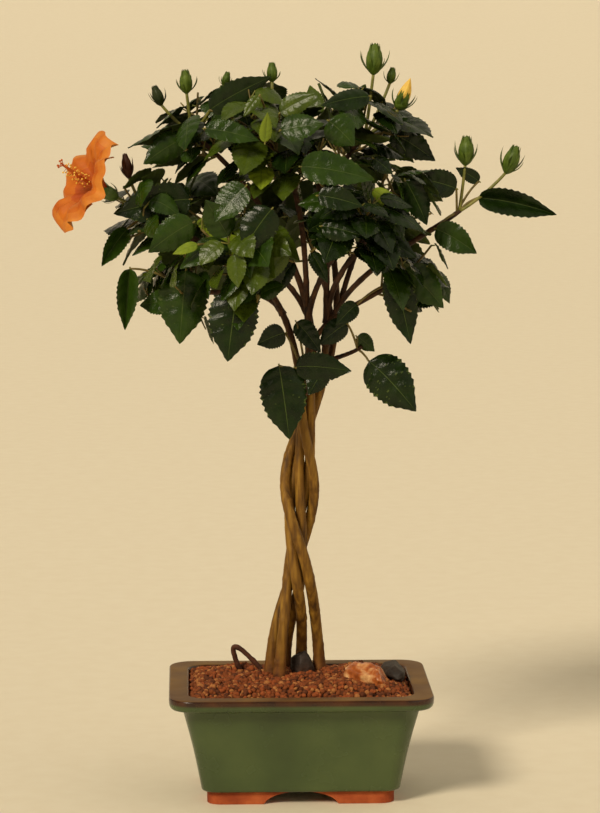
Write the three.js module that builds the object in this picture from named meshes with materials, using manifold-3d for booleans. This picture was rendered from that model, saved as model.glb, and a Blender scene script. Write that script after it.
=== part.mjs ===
// Hibiscus bonsai: five stems braided into one trunk, a leafy crown with buds and one open bloom,
// in a glazed rectangular pot filled with soil. Millimetres, +Z up, seen from the front along +Y.
// The origin is on the floor, under the middle of the plant's outline.
import * as THREE from "three";
import { mergeVertices } from "three/addons/utils/BufferGeometryUtils.js";
import Module from "manifold-3d";

const wasm = await Module();
wasm.setup();

const GAP = 0.3; // clear space between pieces that meet
const UP = new THREE.Vector3(0, 0, 1);
const FRONT = new THREE.Vector3(0, -1, 0);
const GOLDEN_ANGLE = Math.PI * (3 - Math.sqrt(5));

// Pot
const RIM_LENGTH = 210;
const RIM_WIDTH = 160;
const POT_HEIGHT = 90;
const FOOT_HEIGHT = 10;
const LIP_HEIGHT = 10.5;
const LIP_OVERHANG = 11; // of the lip beyond the body under it
const BODY_DRAFT = 14.5; // how far each side comes in from the lip to the bottom
const WALL = 7;
const RIM_FLAT = 15; // width of the rim's flat top
const EDGE_ROUND = 1.6;
const RIM_CORNER = 20;
const BODY_CORNER = 15;
const FLOOR_CORNER = 11;
const CORNER_STEPS = 5;
// A foot's length on the floor, and how much longer it is where it meets the pot, along each side
const FOOT_ALONG = { length: 45, bracket: 22 };
const FOOT_ACROSS = { length: 28, bracket: 14 };
const FOOT_THICKNESS = 12;
const FOOT_INSET = 1.5;

// Soil and what lies on it
const SOIL_EDGE_Z = 86.5;
const SOIL_TOP_Z = 94;
const SOIL_SLOPE = 20; // width of the sloping margin round the top
const SOIL_HEAPS = 1.7; // how far the soil's low heaps rise, and its hollows fall
const HEAP_PITCH = 48; // across a heap and the hollow beside it
const HEAP_MARGIN = 12; // by the pot's wall the heaps die out
const SOIL_RINGS = 5; // of points between the wall and the level middle
const SOIL_RING_STEP = 12;
const SOIL_SIDE_STEPS = 5; // along each side of a ring
const STONES = {
  stone_orange: { at: [54, -14], size: [29, 12, 13], turn: -1, seed: 3, colour: 0xb8662c },
  stone_dark: { at: [77, 12], size: [9, 26, 9], turn: 0.1, seed: 8, colour: 0x2b2620 },
  stone_grey: { at: [2.5, 18.5], size: [11, 7, 17], turn: 0, seed: 5, colour: 0x33323a },
};
const STONE_SUNK = 6; // how far a stone's ball goes on down before the soil cuts it
const ROOT_ARCH = { from: [-46, 26], peak: [-66, 26, 136], to: [-26, 20], radius: 2 };

// Trunk: five stems side by side in a ribbon that twists as it rises
const FORK_Z = 326;
const LOWER_NECK_Z = 196; // the ribbon is edge-on to the front here, and a half turn higher up
const HALF_TURN = 103;
const TWIST_RATE = -Math.PI / HALF_TURN;
const FOOT_TWIST = Math.PI; // angle of the ribbon at the soil
const RIBBON_PLACES = [-1, -0.5, 0, 0.5, 1];
const RIBBON_HALF_WIDTH = 11.7;
const NECK_NARROWING = 1.2;
const RIBBON_HALF_DEPTH = 2.9;
const DEPTH_GAIN = 3.3; // of the ribbon towards the soil
const STEM_FEET = [[17.5, 27], [3, 34], [-10, 38], [-15.5, 2.5], [-22.5, 13]];
const SPLAY_Z = 178; // below this the stems spread to their feet
const LEAN = [-2, 11.5]; // the trunk's middle at the soil and at the fork
const TRUNK_DEPTH = 6; // how far the trunk stands behind the pot's middle
const STEM_RADIUS_LOW = 4.4;
const STEM_RADIUS_FORK = 3.6;
const STEM_SWELLING = 0.25; // at half height
const ROOT_FLARE = 1.5;
const ROOT_FLARE_HEIGHT = 9;
const STEM_SIDES = 6;
const STEM_STEP = 10;

// Boughs: the stem each springs from, how far along that stem's leader it leaves, the middle of its
// mass of leaves, and the seed of that mass. The first bough of a stem is its leader. A bough climbs
// along its parent's line for a share of its reach before it bends out.
const CLIMB = 0.35;
const BOUGHS = [
  { name: "back_top", stem: 0, off: 0, home: [4, 52, 523], shoots: 7, seed: 12 },
  { name: "back_right", stem: 0, off: 0.2, home: [66, 66, 465], shoots: 7, seed: 21 },
  { name: "back_low", stem: 0, off: 0.08, home: [8, 82, 450], shoots: 7, seed: 31 },
  { name: "top_right", stem: 1, off: 0, home: [54, -4, 530], shoots: 7, seed: 41 },
  { name: "right_side", stem: 1, off: 0.24, home: [84, -12, 474], shoots: 7, seed: 51 },
  { name: "right_spur", stem: 1, off: 0.16, home: [128, -6, 470], shoots: 0, seed: 52 },
  { name: "left_top", stem: 2, off: 0, home: [-86, 4, 532], shoots: 7, seed: 61 },
  { name: "back_left", stem: 2, off: 0.18, home: [-72, 64, 459], shoots: 7, seed: 71 },
  { name: "top_left", stem: 3, off: 0, home: [-24, -30, 524], shoots: 7, seed: 81 },
  { name: "front_right", stem: 3, off: 0.2, home: [42, -64, 460], shoots: 7, seed: 91 },
  { name: "right_low", stem: 3, off: 0.1, home: [76, -34, 417], shoots: 7, seed: 101 },
  { name: "flower_side", stem: 4, off: 0, home: [-122, -26, 470], shoots: 7, seed: 111, climb: 0.62 },
  { name: "left_low", stem: 4, off: 0.22, home: [-98, -34, 415], shoots: 7, seed: 121 },
  { name: "front_left", stem: 4, off: 0.15, home: [-48, -66, 438], shoots: 7, seed: 131 },
];
// Low twigs that bear no bough: the stem, and how far up it or, above the fork, along its leader.
const LOW_TWIGS = [
  { name: "low_front", stem: 4, up: 0.95, home: [6, -34, 335], shoots: 0, seed: 141 },
  { name: "low_right", stem: 1, off: 0.1, home: [50, -8, 362], shoots: 0, seed: 151 },
];
const BOUGH_RADIUS = 2.7;
const SIDE_BOUGH_RADIUS = 2.4;
const BOUGH_TIP_RADIUS = 2.1;
const TWIG_TIP_RADIUS = 1.6;
const BOUGH_SIDES = 5;
const BOUGH_STEPS = 6;
const MASS_STEM_SIDES = 4;
const TWIG_SIDES = 3;
const BOUGH_SHARE = 0.55; // least share of a limb that is bare bough, before its mass begins

// Foliage
const CROWN_MIDDLE = [-6, 0, 452];
const CROWN_RADII = [152, 122, 132];
const CROWN_DROP = 100; // from its middle to its underside
// The open space under the crown, where only bare wood shows: an arch through the whole depth, in x and z
const OPEN_ARCH = { middle: [24, 345], radii: [62, 90] };
const LEAF_LENGTH = 52;
const LEAF_WIDTH_SHARE = 0.66;
const LEAF_THICKNESS = 1.5;
const PETIOLE = 14; // length of a leaf's stalk
const PETIOLE_ROOT = 0.34; // half its thickness at the twig
const WIDEST = 0.38; // where along the blade it is widest
const SHOOT_LENGTH = [18, 42];
const SHOOT_RADIUS = 1.05;
const SHOOT_TIP_RADIUS = 0.85;
const LEAVES_ON_SHOOT = 8;
const CELL_MARGIN = 0.5;
const LIMB_CLEARANCE = 1.2;
const LEAF_CLEARANCE = 2; // between two leaves of one mass
const TWIG_CLEARANCE = 2;
const ROOT_ZONE = 6; // near its root a leaf may meet twigs
const LEAF_GRID = 3; // test points to either side of a blade's midrib
const TEST_STEP = 3; // between test points along wood
const DROOP = [0.3, 1.5];
const ATTEMPTS = 6; // at a leaf that fits its place, each smaller than the one before
const ATTEMPT_SHRINK = 0.06;
const BUD_LENGTH = 23;
const BUD_RADIUS = 6;

// Leaves that set the crown's outline at the front: the mass, the blade's foot and tip, and its width.
const OUTLINE_LEAVES = [
  { mass: "right_spur", foot: [142, -6, 480], tip: [204, -12, 467], width: 27 },
  { mass: "right_spur", foot: [108, -12, 456], tip: [140, -20, 437], width: 22 },
  { mass: "right_spur", foot: [124, -14, 488], tip: [89, -18, 497], width: 22 },
  { mass: "right_spur", foot: [143, -2, 493], tip: [124, -6, 504], width: 11 },
  { mass: "right_low", foot: [72, -42, 425], tip: [86, -48, 368], width: 25 },
  { mass: "right_low", foot: [82, -40, 427], tip: [112, -44, 396], width: 26 },
  { mass: "low_right", foot: [55, -14, 351], tip: [92, -26, 312], width: 35 },
  { mass: "low_right", foot: [46, -8, 370], tip: [60, -8, 358], width: 13 },
  { mass: "right_low", foot: [45, -30, 398], tip: [28, -36, 382], width: 15 },
  { mass: "low_right", foot: [37, -24, 382], tip: [15, -30, 366], width: 18 },
  { mass: "low_front", foot: [-17, -34, 350], tip: [-9, -40, 292], width: 36 },
  { mass: "low_front", foot: [-4, -36, 349], tip: [40, -40, 346], width: 23 },
  { mass: "low_front", foot: [-12, -26, 375], tip: [-34, -28, 366], width: 19 },
  { mass: "low_front", foot: [-3, -28, 384], tip: [16, -34, 360], width: 17 },
  { mass: "low_front", foot: [20, -34, 348], tip: [6, -40, 327], width: 18 },
  { mass: "flower_side", foot: [-136, -32, 458], tip: [-156, -36, 429], width: 22 },
  { mass: "left_low", foot: [-134, -36, 427], tip: [-138, -40, 379], width: 27 },
  { mass: "left_low", foot: [-90, -50, 427], tip: [-95, -58, 370], width: 38 },
  { mass: "front_left", foot: [-50, -70, 413], tip: [-58, -76, 358], width: 38 },
  { mass: "flower_side", foot: [-86, -46, 482], tip: [-146, -48, 471], width: 30 },
  { mass: "left_top", foot: [-91, -16, 528], tip: [-123, -20, 508], width: 22 },
  { mass: "top_left", foot: [-71, -40, 551], tip: [-23, -42, 577], width: 22 },
  { mass: "top_right", foot: [72, -14, 532], tip: [107, -18, 510], width: 22 },
];
// Buds that stand out of the crown: the mass, the tip, and the size against the usual bud.
const BUDS = [
  { mass: "top_right", tip: [60, -6, 604], size: 1.1 },
  { mass: "top_right", tip: [75, 6, 584], size: 0.6 },
  { mass: "top_right", tip: [87, -12, 574], size: 1.1 },
  { mass: "right_spur", tip: [133, -4, 531], size: 1.05 },
  { mass: "right_spur", tip: [173, -8, 523], size: 1.05 },
  { mass: "left_top", tip: [-90, -4, 583], size: 0.85 },
  { mass: "left_top", tip: [-115, 2, 570], size: 0.75 },
  { mass: "left_top", tip: [-56, -18, 581], size: 0.55 },
  { mass: "top_left", tip: [-22, -26, 589], size: 0.7 },
  { mass: "flower_side", tip: [-138, -20, 518], size: 0.9 },
];
const PEDICEL_RADIUS = 0.9;
const BLOOM = { mass: "flower_side", calyx: [-147, -28, 484], axis: [-0.84, -0.3, 0.43] };
const PETALS = 5;
// Sections of the bloom, up its outside and down its inside: height, radius, and how far the petals
// stand out as lobes and as waves.
const BLOOM_PROFILE = [
  [2, 3, 0, 0], [14, 8, 0, 0], [24, 22, 0.06, 1.5], [29, 35, 0.12, 3], [28, 41, 0.16, 4],
  [29.5, 40, 0.16, 4], [30.5, 34, 0.12, 3], [25.5, 21, 0.06, 1.5], [15, 6.5, 0, 0], [8, 3, 0, 0],
];
const COLUMN_LENGTH = 38; // the stamens' column in the middle of the bloom

const COLOURS = {
  glaze: 0x4a6650, clay: 0xb4603a, soil: 0x6d3b24, bark: 0x7a6230, twig: 0x5d4a26, leaf: 0x2b4a1c,
};

const vec = (p) => new THREE.Vector3(p[0], p[1], p[2]);
const mix = (a, b, t) => a + (b - a) * t;
const smooth = (t) => t * t * (3 - 2 * t);
const clamp01 = (t) => Math.min(1, Math.max(0, t));

// A repeatable stream of numbers from a seed.
function seeded(seed) {
  let state = Math.imul(seed, 2654435761) >>> 0;
  return (low = 0, high = 1) => {
    state = (Math.imul(state, 1664525) + 1013904223) >>> 0;
    return low + (high - low) * (state / 4294967296);
  };
}

// Meshes and solids

// A closed geometry through rings with the same number of points, with flat ends.
function loft(rings) {
  const count = rings[0].length;
  const position = rings.flat().flatMap((p) => [p.x, p.y, p.z]);
  const index = [];
  for (let r = 0; r + 1 < rings.length; r += 1) {
    for (let i = 0; i < count; i += 1) {
      const a = r * count + i;
      const b = r * count + ((i + 1) % count);
      index.push(a, b, b + count, a, b + count, a + count);
    }
  }
  const last = (rings.length - 1) * count;
  for (let i = 1; i + 1 < count; i += 1) {
    index.push(0, i + 1, i);
    index.push(last, last + i, last + i + 1);
  }
  const geometry = new THREE.BufferGeometry();
  geometry.setAttribute("position", new THREE.Float32BufferAttribute(position, 3));
  geometry.setIndex(index);
  return geometry;
}

function solidOf(geometry) {
  const bare = geometry.clone();
  bare.deleteAttribute("normal");
  bare.deleteAttribute("uv");
  const merged = mergeVertices(bare, 1e-4);
  const corners = merged.index.array;
  const triVerts = [];
  for (let i = 0; i < corners.length; i += 3) {
    const [a, b, c] = corners.slice(i, i + 3);
    if (a !== b && b !== c && a !== c) triVerts.push(a, b, c);
  }
  const vertProperties = new Float32Array(merged.attributes.position.array);
  return new wasm.Manifold(
    new wasm.Mesh({ numProp: 3, vertProperties, triVerts: new Uint32Array(triVerts) }),
  );
}

function geometryOf(solid) {
  const mesh = solid.getMesh();
  const geometry = new THREE.BufferGeometry();
  geometry.setAttribute("position", new THREE.Float32BufferAttribute(mesh.vertProperties, 3));
  geometry.setIndex(new THREE.BufferAttribute(mesh.triVerts, 1));
  return geometry;
}

// The largest body of a solid, without loose scraps or sealed hollows.
function largestBody(solid) {
  const bodies = solid.decompose();
  bodies.sort((a, b) => b.volume() - a.volume());
  return bodies[0];
}

function fuse(geometries) {
  return largestBody(wasm.Manifold.union(geometries.map(solidOf)));
}

function meshOf(name, geometry, colour, roughness) {
  const flat = geometry.toNonIndexed();
  flat.computeVertexNormals();
  const material = new THREE.MeshStandardMaterial({ color: colour, roughness, metalness: 0 });
  const mesh = new THREE.Mesh(flat, material);
  mesh.name = name;
  return mesh;
}

// Pot, feet and soil

// A level ring of points, with each straight side in a number of steps.
function roundedRing(inset, radius, z, sideSteps = 1) {
  const halfLength = RIM_LENGTH / 2 - inset;
  const halfWidth = RIM_WIDTH / 2 - inset;
  const points = [];
  for (let quarter = 0; quarter < 4; quarter += 1) {
    const signX = quarter === 0 || quarter === 3 ? 1 : -1;
    const signY = quarter < 2 ? 1 : -1;
    for (let step = 0; step <= CORNER_STEPS; step += 1) {
      const angle = ((quarter + step / CORNER_STEPS) * Math.PI) / 2;
      const x = signX * (halfLength - radius) + radius * Math.cos(angle);
      const y = signY * (halfWidth - radius) + radius * Math.sin(angle);
      points.push(new THREE.Vector3(x, y, z));
    }
    const start = points[points.length - 1];
    const run = quarter % 2 ? halfWidth - radius : halfLength - radius;
    const ahead = [[-1, 0], [0, -1], [1, 0], [0, 1]][quarter];
    for (let step = 1; step < sideSteps; step += 1) {
      const along = (2 * run * step) / sideSteps;
      points.push(new THREE.Vector3(start.x + ahead[0] * along, start.y + ahead[1] * along, z));
    }
  }
  return points;
}

const BODY_INSET = LIP_OVERHANG + BODY_DRAFT;
const CAVITY_TOP = { inset: RIM_FLAT + EDGE_ROUND, z: POT_HEIGHT - EDGE_ROUND };
const CAVITY_FLOOR = { inset: BODY_INSET + WALL, z: FOOT_HEIGHT + WALL };

function cavityInset(z) {
  return mix(CAVITY_FLOOR.inset, CAVITY_TOP.inset, (z - CAVITY_FLOOR.z) / (CAVITY_TOP.z - CAVITY_FLOOR.z));
}

function makePot() {
  const lipFoot = POT_HEIGHT - LIP_HEIGHT;
  const rings = [
    roundedRing(BODY_INSET + 2 * EDGE_ROUND, FLOOR_CORNER, FOOT_HEIGHT),
    roundedRing(BODY_INSET, FLOOR_CORNER, FOOT_HEIGHT + 2 * EDGE_ROUND),
    roundedRing(LIP_OVERHANG, BODY_CORNER, lipFoot - EDGE_ROUND),
    roundedRing(LIP_OVERHANG * 0.65, BODY_CORNER, lipFoot),
    roundedRing(EDGE_ROUND, RIM_CORNER - EDGE_ROUND, lipFoot + 2 * EDGE_ROUND),
    roundedRing(0, RIM_CORNER, POT_HEIGHT - EDGE_ROUND),
    roundedRing(EDGE_ROUND, RIM_CORNER - EDGE_ROUND, POT_HEIGHT),
    roundedRing(RIM_FLAT, BODY_CORNER, POT_HEIGHT),
    roundedRing(CAVITY_TOP.inset, BODY_CORNER, CAVITY_TOP.z),
    roundedRing(CAVITY_FLOOR.inset, FLOOR_CORNER, CAVITY_FLOOR.z),
  ];
  return meshOf("pot", loft(rings), COLOURS.glaze, 0.25);
}

// One bracket of a foot: its side view, from the pot's corner inwards, drawn out to its thickness.
function footBracket({ length, bracket }) {
  const top = FOOT_HEIGHT - GAP;
  const shape = new THREE.Shape();
  shape.moveTo(0, 0);
  shape.lineTo(length, 0);
  shape.quadraticCurveTo(length + 0.2 * bracket, top * 0.8, length + bracket, top);
  shape.lineTo(0, top);
  shape.closePath();
  const options = { depth: FOOT_THICKNESS, bevelEnabled: false, curveSegments: 5 };
  return new THREE.ExtrudeGeometry(shape, options).rotateX(Math.PI / 2);
}

function makeFeet() {
  const inset = BODY_INSET + 2 * EDGE_ROUND + FOOT_INSET;
  const rings = [0, FOOT_HEIGHT].map((z) => roundedRing(inset, FLOOR_CORNER, z));
  const outline = solidOf(loft(rings));
  const cornerX = RIM_LENGTH / 2 - inset;
  const cornerY = RIM_WIDTH / 2 - inset;
  const along = footBracket(FOOT_ALONG).translate(-cornerX, -cornerY + FOOT_THICKNESS, 0);
  const across = footBracket(FOOT_ACROSS).rotateZ(Math.PI / 2).translate(-cornerX, -cornerY, 0);
  const corner = wasm.Manifold.union([solidOf(along), solidOf(across)]).intersect(outline);
  const mirrors = {
    foot_front_left: [1, 1],
    foot_front_right: [-1, 1],
    foot_back_left: [1, -1],
    foot_back_right: [-1, -1],
  };
  return Object.entries(mirrors).map(([name, [x, y]]) => {
    const foot = meshOf(name, geometryOf(corner), COLOURS.clay, 0.8);
    foot.scale.set(x, y, 1);
    return foot;
  });
}

const SOIL_EDGE_INSET = cavityInset(SOIL_EDGE_Z) + GAP + 0.1;

// The soil's surface: low heaps and hollows on a top that slopes down to the pot's wall.
function soilHeight(x, y) {
  const margin = Math.min(RIM_LENGTH / 2 - Math.abs(x), RIM_WIDTH / 2 - Math.abs(y)) - SOIL_EDGE_INSET;
  const turn = (2 * Math.PI) / HEAP_PITCH;
  const heap = SOIL_HEAPS * Math.sin(turn * x + 1) * Math.cos(turn * y + 0.6);
  return mix(SOIL_EDGE_Z, SOIL_TOP_Z, clamp01(margin / SOIL_SLOPE)) + heap * clamp01(margin / HEAP_MARGIN);
}

// The soil, with its top raised by a clearance.
function soilGeometry(clearance) {
  const floor = CAVITY_FLOOR.z + GAP;
  const rings = [roundedRing(cavityInset(floor) + GAP + 0.1, FLOOR_CORNER, floor, SOIL_SIDE_STEPS)];
  for (let k = 0; k < SOIL_RINGS; k += 1) {
    const corner = mix(BODY_CORNER, FLOOR_CORNER, k / (SOIL_RINGS - 1));
    const ring = roundedRing(SOIL_EDGE_INSET + k * SOIL_RING_STEP, corner, 0, SOIL_SIDE_STEPS);
    for (const point of ring) point.z = soilHeight(point.x, point.y) + clearance;
    rings.push(ring);
  }
  return loft(rings);
}

// What stands on the soil is cut by this to fit its surface.
function cutBySoil(geometry) {
  return largestBody(solidOf(geometry).subtract(solidOf(soilGeometry(GAP))));
}

function makeSoil() {
  return meshOf("soil", soilGeometry(0), COLOURS.soil, 0.95);
}

// A lumpy stone, cut underneath to lie on the soil.
function makeStone(name, stone) {
  const random = seeded(stone.seed);
  const geometry = new THREE.IcosahedronGeometry(1, 1);
  geometry.deleteAttribute("normal");
  geometry.deleteAttribute("uv");
  const ball = mergeVertices(geometry, 1e-4);
  const position = ball.attributes.position;
  for (let i = 0; i < position.count; i += 1) {
    const p = new THREE.Vector3().fromBufferAttribute(position, i).multiplyScalar(random(0.82, 1.12));
    p.multiply(vec(stone.size));
    position.setXYZ(i, p.x, p.y, Math.max(p.z, -STONE_SUNK));
  }
  ball.rotateZ(stone.turn).translate(stone.at[0], stone.at[1], SOIL_TOP_Z);
  return meshOf(name, geometryOf(cutBySoil(ball)), stone.colour, 0.6);
}

// Limbs

// A tapering limb with flat ends through points, each with its radius.
function limbGeometry(points, radii, sides) {
  let side = null;
  const rings = points.map((point, i) => {
    const ahead = points[Math.min(i + 1, points.length - 1)];
    const behind = points[Math.max(i - 1, 0)];
    const tangent = ahead.clone().sub(behind).normalize();
    if (!side) side = Math.abs(tangent.z) > 0.9 ? new THREE.Vector3(1, 0, 0) : UP.clone();
    side = side.clone().addScaledVector(tangent, -side.dot(tangent)).normalize();
    const other = tangent.clone().cross(side);
    return Array.from({ length: sides }, (_, k) => {
      const angle = (2 * Math.PI * k) / sides;
      return point.clone()
        .addScaledVector(side, radii[i] * Math.cos(angle))
        .addScaledVector(other, radii[i] * Math.sin(angle));
    });
  });
  return loft(rings);
}

function bezier(curve, t) {
  const [a, b, c, d] = curve;
  const s = 1 - t;
  return a.clone().multiplyScalar(s * s * s)
    .addScaledVector(b, 3 * s * s * t)
    .addScaledVector(c, 3 * s * t * t)
    .addScaledVector(d, t * t * t);
}

function bezierTangent(curve, t) {
  const [a, b, c, d] = curve;
  const s = 1 - t;
  return b.clone().sub(a).multiplyScalar(s * s)
    .addScaledVector(c.clone().sub(b), 2 * s * t)
    .addScaledVector(d.clone().sub(c), t * t)
    .normalize();
}

// The middle of a stem at a height. The ribbon turns a half turn between its necks and unwinds to the feet.
function stemPoint(stem, z) {
  const below = LOWER_NECK_Z - z;
  const fall = LOWER_NECK_Z - SOIL_TOP_Z;
  const unwind = (FOOT_TWIST - Math.PI / 2 + TWIST_RATE * fall) / (fall * fall);
  const turn = Math.PI / 2 - TWIST_RATE * below + (below > 0 ? unwind * below * below : 0);
  const height = clamp01((z - SOIL_TOP_Z) / (FORK_Z - SOIL_TOP_Z));
  const middle = mix(LEAN[0], LEAN[1], height ** 4);
  const along = RIBBON_PLACES[stem] * (RIBBON_HALF_WIDTH - NECK_NARROWING * Math.sin(turn) ** 2);
  const across = (stem % 2 ? 1 : -1) * (RIBBON_HALF_DEPTH + DEPTH_GAIN * (1 - height) ** 2);
  const x = middle + along * Math.cos(turn) - across * Math.sin(turn);
  const y = TRUNK_DEPTH + along * Math.sin(turn) + across * Math.cos(turn);
  const splay = smooth(clamp01((SPLAY_Z - z) / (SPLAY_Z - SOIL_TOP_Z)));
  const [footX, footY] = STEM_FEET[stem];
  return new THREE.Vector3(mix(x, footX, splay), mix(y, footY, splay), z);
}

function stemRadius(z) {
  const height = clamp01((z - SOIL_TOP_Z) / (FORK_Z - SOIL_TOP_Z));
  return mix(STEM_RADIUS_LOW, STEM_RADIUS_FORK, height)
    + STEM_SWELLING * Math.sin(Math.PI * height) ** 2
    + ROOT_FLARE * Math.exp((SOIL_TOP_Z - z) / ROOT_FLARE_HEIGHT);
}

function stemTangent(stem, z) {
  return stemPoint(stem, z + 0.5).sub(stemPoint(stem, z - 0.5)).normalize();
}

// A stretch of a stem. Its rings lie level, so it is cut flat at the fork.
function stemGeometry(stem, low, high, extra) {
  const steps = Math.ceil((high - low) / STEM_STEP);
  const rings = Array.from({ length: steps + 1 }, (_, i) => {
    const z = mix(low, high, i / steps);
    const middle = stemPoint(stem, z);
    const radius = stemRadius(z) + extra;
    return Array.from({ length: STEM_SIDES }, (_unused, k) => {
      const angle = (2 * Math.PI * k) / STEM_SIDES;
      return new THREE.Vector3(Math.cos(angle), Math.sin(angle), 0).multiplyScalar(radius).add(middle);
    });
  });
  return loft(rings);
}

function makeStem(stem) {
  const geometry = stemGeometry(stem, SOIL_TOP_Z - 2 * SOIL_HEAPS, FORK_Z, 0);
  return meshOf(`stem_${stem + 1}`, geometryOf(cutBySoil(geometry)), COLOURS.bark, 0.8);
}

// The line of a limb from its root to the middle of its mass. It leaves along its parent and bends out.
function limbCurve(root, tangent, home, climb = CLIMB) {
  const middle = vec(home);
  const reach = root.distanceTo(middle);
  const outward = new THREE.Vector3(middle.x - root.x, middle.y - root.y, 0).normalize();
  const arrive = outward.multiplyScalar(0.8).addScaledVector(UP, 0.6).normalize();
  return [
    root.clone(),
    root.clone().addScaledVector(tangent, climb * reach),
    middle.clone().addScaledVector(arrive, -0.3 * reach),
    middle,
  ];
}

// Points and radii of a stretch of a limb.
function stretch(limb, from, to, steps) {
  const points = [];
  const radii = [];
  for (let i = 0; i <= steps; i += 1) {
    const t = mix(from, to, i / steps);
    points.push(bezier(limb.curve, t));
    radii.push(limbRadius(limb, t));
  }
  return { points, radii };
}

function limbRadius(limb, t) {
  if (t < limb.entry) return mix(limb.radius, BOUGH_TIP_RADIUS, t / limb.entry);
  return mix(BOUGH_TIP_RADIUS, TWIG_TIP_RADIUS, (t - limb.entry) / (1 - limb.entry));
}

// Every limb's line, and where along it its mass of leaves begins.
function planLimbs() {
  const leaders = new Map();
  const limbs = BOUGHS.map((bough) => {
    const leader = leaders.get(bough.stem);
    const root = leader ? bezier(leader.curve, bough.off) : stemPoint(bough.stem, FORK_Z);
    const tangent = leader ? bezierTangent(leader.curve, bough.off) : stemTangent(bough.stem, FORK_Z);
    const radius = leader ? SIDE_BOUGH_RADIUS : BOUGH_RADIUS;
    const limb = { ...bough, curve: limbCurve(root, tangent, bough.home, bough.climb), leader, radius };
    if (!leader) leaders.set(bough.stem, limb);
    return limb;
  });
  for (const twig of LOW_TWIGS) {
    const leader = twig.off ? leaders.get(twig.stem) : null;
    const root = leader
      ? bezier(leader.curve, twig.off)
      : stemPoint(twig.stem, mix(SOIL_TOP_Z, FORK_Z, twig.up));
    const aim = vec(twig.home).sub(root).normalize();
    const curve = limbCurve(root, aim, twig.home);
    limbs.push({ ...twig, curve, leader, radius: BOUGH_TIP_RADIUS, low: true });
  }
  for (const limb of limbs) {
    let entry = 1;
    while (entry > 0 && insideCell(limb, bezier(limb.curve, entry), limbs)) entry -= 0.01;
    limb.entry = limb.low ? 0 : Math.max(entry + 0.02, BOUGH_SHARE);
  }
  return limbs;
}

// A mass keeps to the points that are nearer to its own middle than to any other's.
function insideCell(limb, point, limbs) {
  const own = vec(limb.home);
  return limbs.every((other) => {
    if (other === limb) return true;
    const away = vec(other.home).sub(own);
    const half = away.length() / 2;
    return point.clone().sub(own).dot(away.normalize()) < half - CELL_MARGIN;
  });
}

function insideCrown(point) {
  const [x, y, z] = CROWN_MIDDLE.map((middle, i) => point.getComponent(i) - middle);
  const height = z < 0 ? CROWN_DROP : CROWN_RADII[2];
  const across = (point.x - OPEN_ARCH.middle[0]) / OPEN_ARCH.radii[0];
  const above = (point.z - OPEN_ARCH.middle[1]) / OPEN_ARCH.radii[1];
  return (x / CROWN_RADII[0]) ** 2 + (y / CROWN_RADII[1]) ** 2 + (z / height) ** 2 < 1
    && across ** 2 + above ** 2 > 1;
}

// Points along all bare wood, each with its radius, that leaves and twigs keep clear of.
function barePoints(limbs) {
  const bare = [];
  for (let stem = 0; stem < RIBBON_PLACES.length; stem += 1) {
    for (let z = SOIL_TOP_Z; z <= FORK_Z; z += TEST_STEP) {
      bare.push({ point: stemPoint(stem, z), radius: stemRadius(z), owner: null });
    }
  }
  for (const limb of limbs) {
    const bough = stretch(limb, 0, limb.entry, BOUGH_STEPS);
    for (const point of finer(bough.points)) {
      bare.push({ point, radius: limb.radius, owner: limb.name });
    }
  }
  return bare;
}

function clearOfWood(points, bare, clearance, except) {
  return points.every((p) => bare.every(({ point, radius, owner }) => {
    return (except && owner === except) || p.distanceTo(point) > radius + clearance;
  }));
}

// Growth: the twigs, leaves, buds and bloom of each mass

// A leaf from its root on a twig: the stalk's end, the blade's widest place, its tip and its side.
function leafFrom(root, start, end, facing, petiole, length, width) {
  const foot = root.clone().addScaledVector(start, petiole);
  return bladeBetween(root, foot, start, end, facing, length, width);
}

function bladeBetween(root, foot, start, end, facing, length, width) {
  const bend = start.clone().add(end).normalize();
  const wide = foot.clone().addScaledVector(bend, WIDEST * length);
  const tip = wide.clone().addScaledVector(end, (1 - WIDEST) * length);
  const side = tip.clone().sub(foot).cross(facing).normalize();
  const panels = [panel(root, wide, side, 0, 1), panel(wide, tip, side, 1, 0)];
  return { root, foot, wide, tip, side, width, panels };
}

// One flat half of a blade, with its share of the full width at either end.
function panel(from, to, side, first, last) {
  const along = to.clone().sub(from);
  const length = along.length();
  along.normalize();
  const normal = side.clone().cross(along).normalize();
  return { from, along, length, normal, first, last };
}

// True where a point comes within a clearance of a leaf.
function nearLeaf(leaf, point, clearance) {
  return leaf.panels.some(({ from, along, length, normal, first, last }) => {
    const offset = point.clone().sub(from);
    const height = Math.abs(offset.dot(normal));
    const place = offset.dot(along);
    if (height > clearance || place < -clearance || place > length + clearance) return false;
    const half = (leaf.width / 2) * mix(first, last, clamp01(place / length));
    return Math.abs(offset.dot(leaf.side)) < half + clearance;
  });
}

// A grid of points over a blade, for the tests of what it may touch.
function leafPoints(leaf) {
  const points = [];
  const rows = [[leaf.foot, leaf.wide, 0, 1, 3], [leaf.wide, leaf.tip, 1, 0, 5]];
  for (const [from, to, first, last, steps] of rows) {
    for (let i = 1; i <= steps; i += 1) {
      const t = i / steps;
      const half = (leaf.width / 2) * mix(first, last, t);
      for (let k = -LEAF_GRID; k <= LEAF_GRID; k += 1) {
        const across = (half * k) / LEAF_GRID;
        points.push(from.clone().lerp(to, t).addScaledVector(leaf.side, across));
      }
    }
  }
  return points;
}

function perpendicular(axis, angle) {
  const reference = Math.abs(axis.z) > 0.9 ? new THREE.Vector3(1, 0, 0) : UP;
  const across = reference.clone().cross(axis).normalize();
  const other = axis.clone().cross(across);
  return across.multiplyScalar(Math.cos(angle)).addScaledVector(other, Math.sin(angle));
}

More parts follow.
